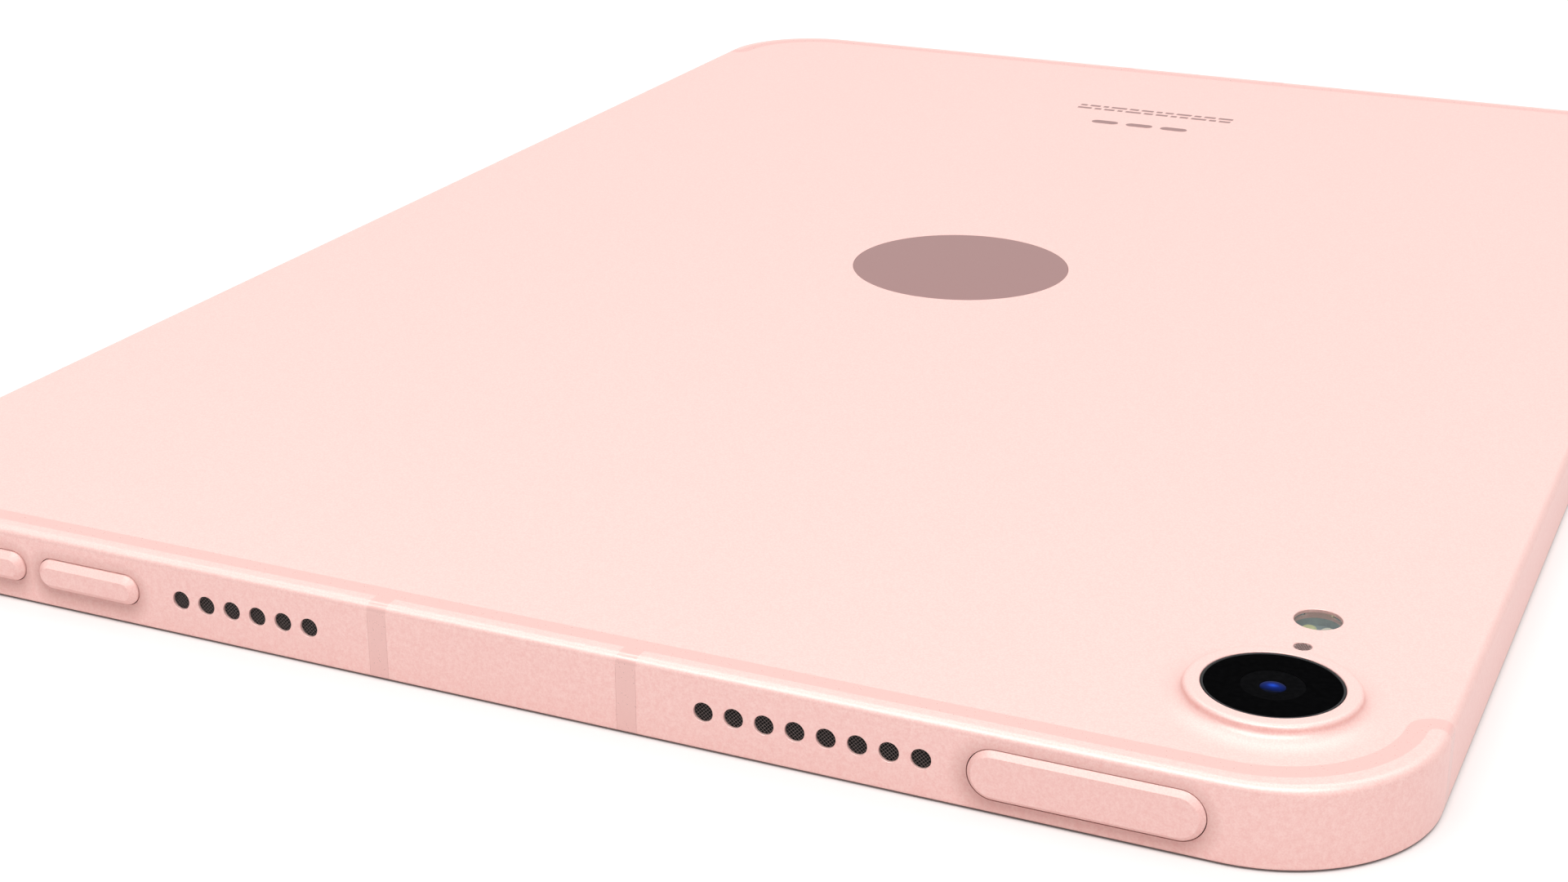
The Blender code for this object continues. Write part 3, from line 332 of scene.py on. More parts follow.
class Nodes:
    """Small helper that adds nodes and links to one material."""

    def __init__(self, name):
        self.material = bpy.data.materials.new(name)
        self.material.use_nodes = True
        self.tree = self.material.node_tree
        self.shader = self.tree.nodes["Principled BSDF"]
        self.output = self.tree.nodes["Material Output"]
        self.coords = self.add("ShaderNodeTexCoord")

    def add(self, kind, **settings):
        made = self.tree.nodes.new(kind)
        for key, value in settings.items():
            setattr(made, key, value)
        return made

    def link(self, source, target):
        self.tree.links.new(source, target)

    def noise(self, scale_mm, detail=2.0, roughness=0.5, stretch=(1.0, 1.0, 1.0)):
        """Noise whose features are about scale_mm across, from 0 to 1."""
        mapping = self.add("ShaderNodeMapping")
        mapping.inputs["Scale"].default_value = stretch
        self.link(self.coords.outputs["Object"], mapping.inputs["Vector"])
        made = self.add("ShaderNodeTexNoise")
        made.inputs["Scale"].default_value = 1.0 / (scale_mm * MM)
        made.inputs["Detail"].default_value = detail
        made.inputs["Roughness"].default_value = roughness
        self.link(mapping.outputs["Vector"], made.inputs["Vector"])
        return made.outputs["Fac"]

    def ramp(self, factor, *stops):
        """A colour ramp of (position, colour) stops."""
        made = self.add("ShaderNodeValToRGB")
        elements = made.color_ramp.elements
        while len(elements) < len(stops):
            elements.new(0.5)
        for element, (position, colour) in zip(elements, stops):
            element.position = position
            element.color = (*colour, 1.0)
        self.link(factor, made.inputs["Fac"])
        return made.outputs["Color"]

    def math(self, operation, first, second):
        made = self.add("ShaderNodeMath", operation=operation)
        for socket, value in zip(made.inputs, (first, second)):
            if isinstance(value, (int, float)):
                socket.default_value = value
            else:
                self.link(value, socket)
        return made.outputs["Value"]

    def bump(self, height, strength, depth_mm):
        made = self.add("ShaderNodeBump")
        made.inputs["Strength"].default_value = strength
        made.inputs["Distance"].default_value = depth_mm * MM
        self.link(height, made.inputs["Height"])
        self.link(made.outputs["Normal"], self.shader.inputs["Normal"])

    def mix(self, factor, first, second, blend="MIX"):
        """Blend two colours, each a socket or a constant."""
        made = self.add("ShaderNodeMix", data_type="RGBA", blend_type=blend)
        for key, value in (("Factor", factor), ("A", first), ("B", second)):
            if isinstance(value, bpy.types.NodeSocket):
                self.link(value, made.inputs[key])
            else:
                made.inputs[key].default_value = value
        return made.outputs["Result"]

    def position(self):
        """The place of a point in the tablet's own frame, as X, Y and Z."""
        made = self.add("ShaderNodeSeparateXYZ")
        self.link(self.coords.outputs["Object"], made.inputs["Vector"])
        return made.outputs

    def colour(self, source):
        self.link(source, self.shader.inputs["Base Color"])

    def roughness(self, factor, low, high, top=0.7):
        """Roughness that follows a factor, from low at 0.3 to high at the top."""
        ramp = self.ramp(factor, (0.3, (low,) * 3), (top, (high,) * 3))
        self.link(ramp, self.shader.inputs["Roughness"])

    def set(self, **values):
        for key, value in values.items():
            self.shader.inputs[key.replace("_", " ")].default_value = value


def shade(colour, factor):
    return tuple(min(1.0, channel * factor) for channel in colour)


def moulded(name, colour, roughness, grain_mm=0.2, contrast=0.03, bump=0.15, metallic=0.0):
    """Moulded plastic, rubber or painted metal: a faint grain in colour and height."""
    n = Nodes(name)
    n.set(Metallic=metallic)
    grain = n.noise(grain_mm, 3.0, 0.6)
    low, high = shade(colour, 1.0 - contrast), shade(colour, 1.0 + contrast)
    n.colour(n.ramp(grain, (0.35, low), (0.65, high)))
    n.roughness(grain, max(0.02, roughness - 0.04), roughness + 0.04)
    n.bump(grain, bump, 0.01)
    return n.material


def brushed(name, colour, roughness, stretch, metallic=1.0, grain_mm=0.06):
    """Metal with fine lines along one direction."""
    n = Nodes(name)
    n.set(Metallic=metallic)
    lines = n.noise(grain_mm, 2.0, 0.6, stretch)
    n.colour(n.ramp(lines, (0.3, shade(colour, 0.9)), (0.7, shade(colour, 1.08))))
    n.roughness(lines, roughness - 0.06, roughness + 0.08)
    n.bump(lines, 0.2, 0.01)
    return n.material


# Colours of the metal and plastic. The edge colours hold a painted shade: walls are given a deeper pink
# than the back, standing in for the lesser light they get.
BACK_PINK = (0.955, 0.645, 0.597)
SHADED_EDGE_PINK = (0.82, 0.515, 0.478)
PLASTIC_PINK = (0.96, 0.575, 0.53)
SHADED_PLASTIC_EDGE = (0.74, 0.455, 0.422)
MAUVE = (0.415, 0.225, 0.215)


def tone(colour, change):
    """A pink made paler or deeper: red moves a third as much as green and blue."""
    return (colour[0] * (1.0 + change / 3.0), colour[1] * (1.0 + change), colour[2] * (1.0 + change))


# Painted shadow round the buttons: how far it reaches, and how far it is shifted left and down.
BUTTON_SHADE_REACH = 1.4
BUTTON_SHADE_SHIFT = (-0.15, -0.35)


def painted_button_shadow(n):
    """A painted shadow: a soft darkening of the -Y edge round each button, mostly below it, where the
    button would cast shade.
    A known fault: the same outlines show faintly on the +Y edge, because nearest is not held at zero
    before it is divided."""
    position = n.position()
    other_end = n.math("GREATER_THAN", position["Y"], 0.0)
    nearest = BUTTON_SHADE_REACH * MM
    for node in ("top_button", "volume_up_button", "volume_down_button"):
        half, centre = button_size(node)
        x = n.math("SUBTRACT", position["X"], (centre[0] + BUTTON_SHADE_SHIFT[0]) * MM)
        z = n.math("SUBTRACT", position["Z"], (centre[1] + BUTTON_SHADE_SHIFT[1]) * MM)
        past_end = n.math("SUBTRACT", n.math("ABSOLUTE", x, 0.0), (half[0] - half[1]) * MM)
        past_end = n.math("MAXIMUM", past_end, 0.0)
        squares = n.math("ADD", n.math("MULTIPLY", past_end, past_end), n.math("MULTIPLY", z, z))
        away = n.math("SUBTRACT", n.math("SQRT", squares, 0.0), half[1] * MM)
        nearest = n.math("MINIMUM", nearest, away)
    share = n.math("DIVIDE", nearest, BUTTON_SHADE_REACH * MM)
    share = n.math("ADD", share, other_end)
    # Painted shadow colours, darkest at the button's outline and gone at the reach.
    return n.ramp(share, (0.0, (0.74, 0.67, 0.66)), (0.35, (0.85, 0.81, 0.80)), (1.0, (1.0, 1.0, 1.0)))


def anodised(name, back_colour, shaded_edge_colour, roughness=0.42, contrast=1.0, with_painted_button_shadow=False):
    """Bead-blasted anodised aluminium. The broad back is evenly speckled and the edges, which are
    blasted at an angle, come out more mottled. The edges are also painted a deeper pink by the way they
    face, a painted shade for the lesser light that falls on the walls."""
    n = Nodes(name)
    n.set(Metallic=0.3, Coat_Weight=0.04, Coat_Roughness=0.2, Specular_IOR_Level=0.3)
    speckle = n.noise(0.13, 1.0, 0.5)
    cloud = n.noise(0.45, 2.0, 0.5)
    mottle = n.math("ADD", n.math("MULTIPLY", speckle, 0.55), n.math("MULTIPLY", cloud, 0.45))
    back_change, edge_change = 0.04 * contrast, 0.09 * contrast
    back = n.ramp(speckle, (0.42, tone(back_colour, -back_change)), (0.58, tone(back_colour, back_change)))
    edge = n.ramp(mottle, (0.36, tone(shaded_edge_colour, -edge_change)), (0.64, tone(shaded_edge_colour, edge_change)))
    # Painted shade by facing: surfaces turned up take the back colour, walls take the deeper shaded edge
    # colour.
    facing = n.add("ShaderNodeSeparateXYZ")
    n.link(n.coords.outputs["Normal"], facing.inputs["Vector"])
    painted_shade_by_facing = n.add("ShaderNodeMapRange")
    painted_shade_by_facing.inputs["From Min"].default_value = 0.35
    painted_shade_by_facing.inputs["From Max"].default_value = 0.95
    n.link(facing.outputs["Z"], painted_shade_by_facing.inputs["Value"])
    colour = n.mix(painted_shade_by_facing.outputs["Result"], edge, back)
    # Multiply in the painted shadow round the buttons.
    if with_painted_button_shadow:
        colour = n.mix(1.0, colour, painted_button_shadow(n), "MULTIPLY")
    n.colour(colour)
    n.roughness(mottle, roughness - 0.04, roughness + 0.06)
    n.bump(cloud, 0.04 * contrast, 0.01)
    return n.material


PICTURE_HALF = (57.97, 88.28)
PICTURE_CORNER = 3.35
BORDER_BLACK = (0.004, 0.004, 0.005, 1.0)


def printed_glass(name):
    """The display's cover glass: black border, and a window onto the dark panel behind it."""
    n = Nodes(name)
    position = n.position()
    squares = []
    for axis, half in (("X", PICTURE_HALF[0]), ("Y", PICTURE_HALF[1])):
        away = n.math("ABSOLUTE", position[axis], 0.0)
        over = n.math("SUBTRACT", away, (half - PICTURE_CORNER) * MM)
        over = n.math("MAXIMUM", over, 0.0)
        squares.append(n.math("MULTIPLY", over, over))
    reach = n.math("SQRT", n.math("ADD", *squares), 0.0)
    outside = n.math("GREATER_THAN", reach, PICTURE_CORNER * MM)
    texture = n.noise(0.3, 2.0, 0.5)
    inside = n.ramp(texture, (0.3, (0.016, 0.017, 0.020)), (0.7, (0.020, 0.021, 0.024)))
    n.colour(n.mix(outside, inside, BORDER_BLACK))
    n.roughness(n.noise(9.0, 3.0, 0.6), 0.03, 0.07, 0.8)
    n.set(Coat_Weight=0.3)
    return n.material


def mask_glass(name, colour, roughness, specular):
    """Glass printed black on its underside, coated so that it hardly reflects."""
    n = Nodes(name)
    dust = n.noise(0.5, 3.0, 0.6)
    n.colour(n.ramp(dust, (0.4, shade(colour, 0.8)), (0.7, shade(colour, 1.2))))
    n.set(Roughness=roughness, Specular_IOR_Level=specular)
    return n.material


def clear_glass(name, tint, roughness=0.04, index=1.25):
    n = Nodes(name)
    haze = n.noise(0.4, 2.0, 0.5)
    n.colour(n.ramp(haze, (0.3, shade(tint, 0.96)), (0.7, tint)))
    n.set(Roughness=roughness, IOR=index, Transmission_Weight=1.0)
    return n.material


def lens_with_painted_glint(name, centre, reach, *stops):
    """Dark lens glass with a painted glint: its colour is painted brighter blue in an oval round its axis,
    standing in for light reflected in the coating.
    """
    n = Nodes(name)
    n.set(Roughness=0.15, Specular_IOR_Level=0.02)
    # An oval for the painted glint, wider across X.
    glint_oval = n.add("ShaderNodeMapping", vector_type="TEXTURE")
    glint_oval.inputs["Location"].default_value = [value * MM for value in centre]
    glint_oval.inputs["Scale"].default_value = (1.35, 1.0, 1.0)
    n.link(n.coords.outputs["Object"], glint_oval.inputs["Vector"])
    offset = n.add("ShaderNodeVectorMath", operation="LENGTH")
    n.link(glint_oval.outputs["Vector"], offset.inputs[0])
    ring = n.math("DIVIDE", offset.outputs["Value"], reach * MM)
    haze = n.math("ADD", ring, n.math("MULTIPLY", n.noise(0.3, 2.0, 0.5), 0.1))
    n.colour(n.ramp(haze, *stops))
    return n.material


metal_pink = anodised("anodised_pink", BACK_PINK, SHADED_EDGE_PINK)
# The rails carry the painted shadow round the buttons.
rail_pink_painted_shadow = anodised("anodised_pink_rail_painted_shadow", BACK_PINK, SHADED_EDGE_PINK, with_painted_button_shadow=True)
button_pink = anodised("anodised_pink_button", BACK_PINK, SHADED_EDGE_PINK, 0.55)
band_pink = anodised("moulded_pink", PLASTIC_PINK, SHADED_PLASTIC_EDGE, 0.30, 0.12)
emblem_mauve = moulded("anodised_mauve", MAUVE, 0.32, 0.12, 0.02, 0.1, 0.4)
cover_glass = printed_glass("cover_glass")
camera_glass = mask_glass("camera_glass", (0.0024, 0.0024, 0.0026), 0.12, 0.0)
baffle_black = mask_glass("baffle_black", (0.0042, 0.0042, 0.0046), 0.4, 0.0)
rubber_black = moulded("rubber_black", (0.012, 0.012, 0.012), 0.7, 0.15, 0.15)
plastic_black = moulded("plastic_black", (0.02, 0.02, 0.022), 0.55, 0.2, 0.1)
backing_black = mask_glass("backing_black", (0.004, 0.0035, 0.0035), 0.5, 0.05)
dark_steel = brushed("dark_steel", (0.16, 0.16, 0.17), 0.4, (1.0, 8.0, 1.0))
rim_steel = brushed("rim_steel", (0.010, 0.010, 0.011), 0.45, (1.0, 1.0, 10.0), 0.2)
wire_steel = brushed("wire_steel", (0.25, 0.20, 0.19), 0.4, (1.0, 1.0, 1.0), 0.4)
tinned_steel = brushed("tinned_steel", (0.62, 0.61, 0.58), 0.3, (8.0, 1.0, 1.0))
gold_plate = brushed("gold_plate", (0.83, 0.60, 0.28), 0.25, (1.0, 6.0, 1.0))

SLOT_MATERIALS = {
    "pink_anodised": metal_pink,
    "pink_plastic": band_pink,
    "mauve_polish": emblem_mauve,
    "black_glass": camera_glass,
    "clear_glass": clear_glass("clear_glass", (0.86, 0.92, 0.92)),
    "black_rubber": rubber_black,
    "panel": mask_glass("panel_glass", (0.03, 0.03, 0.035), 0.2, 0.5),
    "diffuser": moulded("diffuser_white", (0.80, 0.80, 0.77), 0.5, 0.4),
    "flex": moulded("flex_film", (0.09, 0.045, 0.015), 0.3, 0.6, 0.12),
    "battery_foil": brushed("battery_foil", (0.10, 0.10, 0.11), 0.35, (1.0, 5.0, 1.0), 0.8, 0.2),
    "circuit_board": moulded("solder_mask", (0.012, 0.045, 0.028), 0.35, 0.25, 0.2),
    "tinned_steel": tinned_steel,
    "dark_steel": dark_steel,
    "black_plastic": plastic_black,
    "magnet": brushed("nickel_plate", (0.50, 0.50, 0.51), 0.3, (1.0, 4.0, 1.0)),
    "copper_coil": brushed("enamelled_copper", (0.72, 0.34, 0.16), 0.3, (1.0, 1.0, 8.0)),
}


# ======== metal body and bands ========

def body_skin():
    """The whole outer form as one solid, with a fine fillet at the rim and at the back."""
    rings = []
    for step in range(RIM_STEPS + 1):
        angle = 0.5 * math.pi * step / RIM_STEPS
        inset = RIM_FILLET * (1.0 - math.sin(angle))
        rings.append((body_outline(inset), RIM_LOW + RIM_FILLET * (1.0 - math.cos(angle))))
    for step in range(BACK_STEPS + 1):
        angle = 0.5 * math.pi * step / BACK_STEPS
        inset = BACK_FILLET * (1.0 - math.cos(angle))
        rings.append((body_outline(inset), THICKNESS - BACK_FILLET * (1.0 - math.sin(angle))))
    return loft(bmesh.new(), rings)


def body_cavity():
    return prism(bmesh.new(), body_outline(WALL), RIM_LOW - BEYOND, PLATE_LOW)


def shell_region():
    edge = band_edge(BAND_FAR)
    outline = edge + mirrored(edge, 1, -1)
    outline += [(-x, y) for x, y in mirrored(edge, 1, -1)[::-1]]
    outline += [(-x, y) for x, y in edge[::-1]]
    return prism(bmesh.new(), outline, RIM_LOW - BEYOND, THICKNESS + BEYOND)


def rail_region(side, end):
    outside = HALF_LENGTH + BEYOND
    inner = HALF_LENGTH - BAND_NEAR
    if side == 0:
        outline = rectangle((-SPLIT_NEAR, SPLIT_NEAR), (-outside, -inner))
    else:
        outline = [(SPLIT_FAR, -outside), (HALF_WIDTH + BEYOND, -outside)]
        outline += band_edge(BAND_NEAR)[::-1]
        outline.append((SPLIT_FAR, -inner))
        outline = mirrored(outline, side, 1)
    return prism(bmesh.new(), mirrored(outline, 1, -end), RIM_LOW - BEYOND, THICKNESS + BEYOND)


def hole_places(side, end):
    """Speaker hole centres across X. The group beside the volume buttons is two shorter."""
    if side == 0:
        return []
    count = 6 if (side, end) == (-1, -1) else 8
    return [side * (HOLE_FIRST + HOLE_PITCH * index) for index in range(count)]


def rail_cuts(side, end):
    """Chamfered speaker holes, button slots and the port opening, as one cutter."""
    solid = bmesh.new()
    face = HALF_LENGTH
    for x in hole_places(side, end):
        profile = [(HOLE_RADIUS, end * (face - 2 * WALL)), (HOLE_RADIUS, end * (face - HOLE_CHAMFER)),
                   (HOLE_RADIUS + 2 * HOLE_CHAMFER, end * (face + HOLE_CHAMFER))]
        turned(solid, profile, HOLE_SIDES, (x, HOLE_Z), axis="Y")
    slots = {(1, -1): ("top_button",), (-1, -1): ("volume_up_button", "volume_down_button")}
    for node in slots.get((side, end), ()):
        half, centre = button_size(node)
        slot = obround(half, centre, BUTTON_GAP)
        prism(solid, slot, end * (face - 2 * WALL), end * (face + BEYOND), "Y")
    if (side, end) == (0, 1):
        half, centre = end_view("usb_c_shell", 0)
        opening = obround(half, centre, PORT_GAP)
        mouth = obround(half, centre, PORT_GAP + 2 * PORT_CHAMFER)
        rings = [(opening, face - 2 * WALL), (opening, face - PORT_CHAMFER), (mouth, face + PORT_CHAMFER)]
        loft(solid, rings, "Y")
    return solid


def band_plan(end):
    outside = HALF_LENGTH + BEYOND
    near = HALF_LENGTH - BAND_NEAR
    stub = [(SPLIT_FAR, -near), (SPLIT_FAR, -outside), (SPLIT_NEAR, -outside), (SPLIT_NEAR, -near)]
    half = band_edge(BAND_NEAR)[::-1] + stub
    far_edge = band_edge(BAND_FAR)
    outline = half + [(-x, y) for x, y in half[::-1]]
    outline += [(-x, y) for x, y in far_edge[::-1]] + far_edge
    return mirrored(outline[::-1], 1, -end)


def band_legs(end):
    """The stretches of a band that run down the metal wall to the rim."""
    solid = bmesh.new()
    sliver = 0.01
    low = RIM_LOW - BEYOND
    high = (THICKNESS + PLATE_LOW) / 2
    end_y = sorted((end * (HALF_LENGTH - WALL), end * (HALF_LENGTH + BEYOND)))
    turn_near = BAND_TURN[1] + BAND_NEAR - BAND_TURN_OFFSET + sliver
    turn_far = BAND_TURN[1] + BAND_FAR - BAND_TURN_OFFSET - sliver
    side_y = sorted((-end * turn_near, -end * turn_far))
    for sign in (-1, 1):
        split_x = sorted((sign * (SPLIT_NEAR + sliver), sign * (SPLIT_FAR - sliver)))
        box(solid, split_x, end_y, (low, high))
        side_x = sorted((sign * (HALF_WIDTH - WALL), sign * (HALF_WIDTH + BEYOND)))
        box(solid, side_x, side_y, (low, high))
    return solid


def make_rails_and_bands():
    for end, end_name in ((-1, "top"), (1, "bottom")):
        for side, side_name in ((-1, "left"), (0, "centre"), (1, "right")):
            node = end_name + "_rail_" + side_name
            rail = mesh_object(node + "_metal", body_skin())
            steps = [("INTERSECT", rail_region(side, end)), ("DIFFERENCE", body_cavity())]
            if (side, end) != (0, -1):
                steps.append(("DIFFERENCE", rail_cuts(side, end)))
            piece(carve(rail, *steps), rail_pink_painted_shadow, replaces=[node])
        band = mesh_object("antenna_band_" + end_name + "_plastic",
                           prism(bmesh.new(), band_plan(end), PLATE_LOW, THICKNESS + BEYOND))
        carve(band, ("UNION", band_legs(end)), ("INTERSECT", body_skin()))
        piece(band, band_pink, replaces=["antenna_band_" + end_name])


SEAT_RADIUS = 8.5
FLASH = centre_mm("flash_window")
FLASH_RADIUS = 1.82
MIC = centre_mm("rear_microphone_mesh")
MIC_RADIUS = 0.68
MOUTH_CHAMFER = 0.04
POCKET_DEPTH = 0.35
POCKET_GAP = 0.015
TRAY_GAP = 0.07
STYLUS_WINDOW_GAP = 0.012


def make_shell():
    cuts = bmesh.new()
    above = THICKNESS + BEYOND
    below = PLATE_LOW - BEYOND
    turned(cuts, [(SEAT_RADIUS, below), (SEAT_RADIUS, above)], 128, CAMERA)
    for centre, radius in ((FLASH.xy, FLASH_RADIUS), (MIC.xy, MIC_RADIUS)):
        profile = [(radius, below), (radius, THICKNESS - MOUTH_CHAMFER),
                   (radius + 3 * MOUTH_CHAMFER, THICKNESS + 2 * MOUTH_CHAMFER)]
        turned(cuts, profile, 64, centre)
    pocket_radius = EMBLEM[1].x + POCKET_GAP
    profile = [(pocket_radius, THICKNESS - POCKET_DEPTH), (pocket_radius, above)]
    turned(cuts, profile, EMBLEM_SIDES, (0.0, 0.0))
    for node, grow in (("sim_tray", TRAY_GAP), ("stylus_window", STYLUS_WINDOW_GAP)):
        half, centre = end_view(node, 1)
        prism(cuts, obround(half, centre, grow), HALF_WIDTH - 2 * WALL, HALF_WIDTH + BEYOND, "X")
    shell = mesh_object("rear_shell_metal", body_skin())
    carve(shell, ("INTERSECT", shell_region()), ("DIFFERENCE", body_cavity()), ("DIFFERENCE", cuts))
    piece(shell, metal_pink, replaces=["rear_shell"])


make_rails_and_bands()
make_shell()


# ======== buttons ========

BUTTONS = {
    "top_button": ("top_button_body", 0.40),
    "volume_up_button": ("volume_up_body", 0.52),
    "volume_down_button": ("volume_down_body", 0.52),
}
BUTTON_FLANGE = (1.45, 1.15)
BUTTON_EDGE = 0.03


def make_buttons():
    for node, (body, chamfer) in BUTTONS.items():
        half, centre = button_size(node)
        front = box_mm(node)[0].y
        cap = obround(half, centre)
        flange = obround((half[0] + FLANGE_OVER[0], half[1] + FLANGE_OVER[1]), centre)
        rings = [(flange, BUTTON_FLANGE[0] - HALF_LENGTH), (flange, BUTTON_FLANGE[1] - HALF_LENGTH),
                 (cap, BUTTON_FLANGE[1] - HALF_LENGTH), (cap, front + chamfer),
                 (obround(half, centre, -chamfer), front)]
        button = loft_object(node + "_cap", rings, "Y")
        bevel(button, BUTTON_EDGE, 3, 30.0)
        piece(button, button_pink, body, [node], 50.0)


make_buttons()


# ======== speaker grilles ========

BORE_GAP = 0.01


def weave(solid, centre, front):
    """Fine wires that cross on the diagonal, over and under each other, across one hole."""
    reach = HOLE_RADIUS - 1.5 * BORE_GAP
    lines = int(reach / WIRE_PITCH)
    diagonal = math.sqrt(0.5)
    along = ((diagonal, diagonal), (-diagonal, diagonal))
    inward = -math.copysign(1.0, front)
    for family in (0, 1):
        run, step = along[family], along[1 - family]
        for line in range(-lines, lines + 1):
            offset = line * WIRE_PITCH
            half = math.sqrt(reach * reach - offset * offset)
            samples = max(4, int(8 * half / WIRE_PITCH))
            rise = WIRE_RADIUS * (-1.0) ** (line + family)
            rings = []
            for sample in range(samples + 1):
                travel = half * (2.0 * sample / samples - 1.0)
                depth = WEAVE_DEPTH + rise * math.cos(math.pi * travel / WIRE_PITCH)
                a = centre[0] + run[0] * travel + step[0] * offset
                b = centre[1] + run[1] * travel + step[1] * offset
                ring = []
                for side in range(WIRE_SIDES):
                    angle = 2.0 * math.pi * side / WIRE_SIDES
                    across, deep = WIRE_RADIUS * math.cos(angle), WIRE_RADIUS * math.sin(angle)
                    level = front + inward * (depth + deep)
                    corner = place(a + step[0] * across, b + step[1] * across, level, "Y")
                    ring.append(solid.verts.new(corner))
                rings.append(ring)
            skin(solid, rings)


def skin(solid, rings):
    """Faces between rings of vertices, with both ends closed."""
    count = len(rings[0])
    for lower, upper in zip(rings[:-1], rings[1:]):
        for index in range(count):
            after = (index + 1) % count
            solid.faces.new((lower[index], lower[after], upper[after], upper[index]))
    solid.faces.new(rings[0][::-1])
    solid.faces.new(rings[-1])


def make_grilles():
    for end, end_name in ((-1, "top"), (1, "bottom")):
        for side, side_name in ((-1, "left"), (1, "right")):
            label = end_name + "_" + side_name
            node = "speaker_mesh_" + label
            low, high = box_mm(node)
            half, centre = end_view(node, 0)
            outline = rounded_rectangle(half, STRIP_CORNER, 8, centre)
            solid = prism(bmesh.new(), outline, low.y, high.y, "Y")
            strip = mesh_object("speaker_strip_" + label, solid)
            plugs = bmesh.new()
            wires = bmesh.new()
            face = end * HALF_LENGTH
            floor_y = end * (HALF_LENGTH - WEAVE_DEPTH - 2.2 * WIRE_RADIUS)
            for x in hole_places(side, end):
                ends = sorted(((low.y + high.y) / 2, floor_y))
                profile = [(HOLE_RADIUS - BORE_GAP, level) for level in ends]
                turned(plugs, profile, HOLE_SIDES, (x, HOLE_Z), axis="Y")
                weave(wires, (x, HOLE_Z), face)
            carve(strip, ("UNION", plugs))
            piece(strip, backing_black)
            grille = mesh_object("speaker_weave_" + label, wires)
            piece(grille, wire_steel, replaces=[node], angle=60.0)


make_grilles()


# ======== camera ========

RING_SIDES = 160
RING_BORE_GAP = 0.02
RING_BORE_CHAMFER = 0.05
FLARE_WALL = 6.3
FLARE_RISE = 0.9
RING_EDGE = (0.43, 0.35)
RIM_RING = (4.84, 5.05)
RIM_CHAMFER = 0.06
WINDOW_SET_BACK = 0.02
WINDOW_CHAMFER = 0.05
APERTURE = 2.3
BAFFLE_LIFT = 0.1
LENS_RADIUS = 0.95
LENS_CROWN = 0.16
LENS_STEPS = 11


def ease(start, finish, steps, concave):
    """Points of a quarter ellipse between two (radius, level) points, ends included."""
    points = []
    for step in range(steps + 1):
        angle = 0.5 * math.pi * step / steps
        across, rise = math.sin(angle), 1.0 - math.cos(angle)
        if not concave:
            across, rise = rise, across
        radius = start[0] + (finish[0] - start[0]) * across
        points.append((radius, start[1] + (finish[1] - start[1]) * rise))
    return points


def make_camera_ring():
    """The raised metal ring: a hollow flare out of the back, then a rounded wall."""
    bore = RIM_RING[1] + RING_BORE_GAP
    profile = [(bore, PLATE_LOW), (SEAT_RADIUS, PLATE_LOW)]
    profile += ease((SEAT_RADIUS, THICKNESS), (FLARE_WALL, THICKNESS + FLARE_RISE), 32, True)
    wall_top = (FLARE_WALL, BUMP_TOP - RING_EDGE[1])
    profile += ease(wall_top, (FLARE_WALL - RING_EDGE[0], BUMP_TOP), 10, False)
    profile += [(bore + RING_BORE_CHAMFER, BUMP_TOP), (bore, BUMP_TOP - RING_BORE_CHAMFER)]
    ring = turned_object("camera_ring_metal", profile, RING_SIDES, CAMERA, True)
    piece(ring, metal_pink, replaces=["camera_trim_ring"])


def make_camera_window():
    """A thin dark rim, the black window with its clear middle, and the lens set in a baffle."""
    low, high = WINDOW[0].z, WINDOW[1].z
    inner, outer = RIM_RING
    profile = [(inner, low), (outer, low), (outer, high - RIM_CHAMFER - 0.02),
               (outer - RIM_CHAMFER, high), (inner + RIM_CHAMFER / 2, high), (inner, high - 0.04)]
    rim = turned_object("camera_rim", profile, 128, CAMERA, True)
    piece(rim, rim_steel)

    edge = inner - 0.01
    top = high - WINDOW_SET_BACK
    profile = [(APERTURE, low), (edge, low), (edge, top - WINDOW_CHAMFER), (edge - WINDOW_CHAMFER, top),
               (APERTURE + 0.02, top), (APERTURE, top - 0.02)]
    window = turned_object("camera_window_glass", profile, 128, CAMERA, True)
    piece(window, camera_glass, replaces=["camera_window"])

    seat = low + BAFFLE_LIFT
    baffle_edge = APERTURE - 0.01
    profile = [(LENS_RADIUS, seat), (baffle_edge, seat), (baffle_edge, top - 0.04),
               (LENS_RADIUS + 0.5, top - 0.09), (LENS_RADIUS + 0.45, top - 0.12),
               (LENS_RADIUS, top - 0.14)]
    baffle = turned_object("camera_baffle", profile, 96, CAMERA, True)
    piece(baffle, baffle_black)

    radius = LENS_RADIUS - 0.01
    crown = top - 0.03
    shoulder = crown - LENS_CROWN
    profile = [(radius, seat), (radius, shoulder)]
    for step in range(1, LENS_STEPS):
        angle = 0.5 * math.pi * step / LENS_STEPS
        profile.append((radius * math.cos(angle), shoulder + LENS_CROWN * math.sin(angle)))
    lens = turned_object("camera_front_lens", profile, 64, CAMERA)
    # Painted glint: bright blue at the lens axis, through navy, to near black at its rim.
    bright, middle, dark = (0.010, 0.06, 0.50), (0.003, 0.014, 0.13), (0.0015, 0.003, 0.012)
    blue = lens_with_painted_glint("lens_coating_painted_glint", (CAMERA.x, CAMERA.y, crown), LENS_RADIUS,
                        (0.05, bright), (0.4, middle), (0.9, dark))
    piece(lens, blue)


THREAD = 0.12
BARREL_MOUTH = 2.6


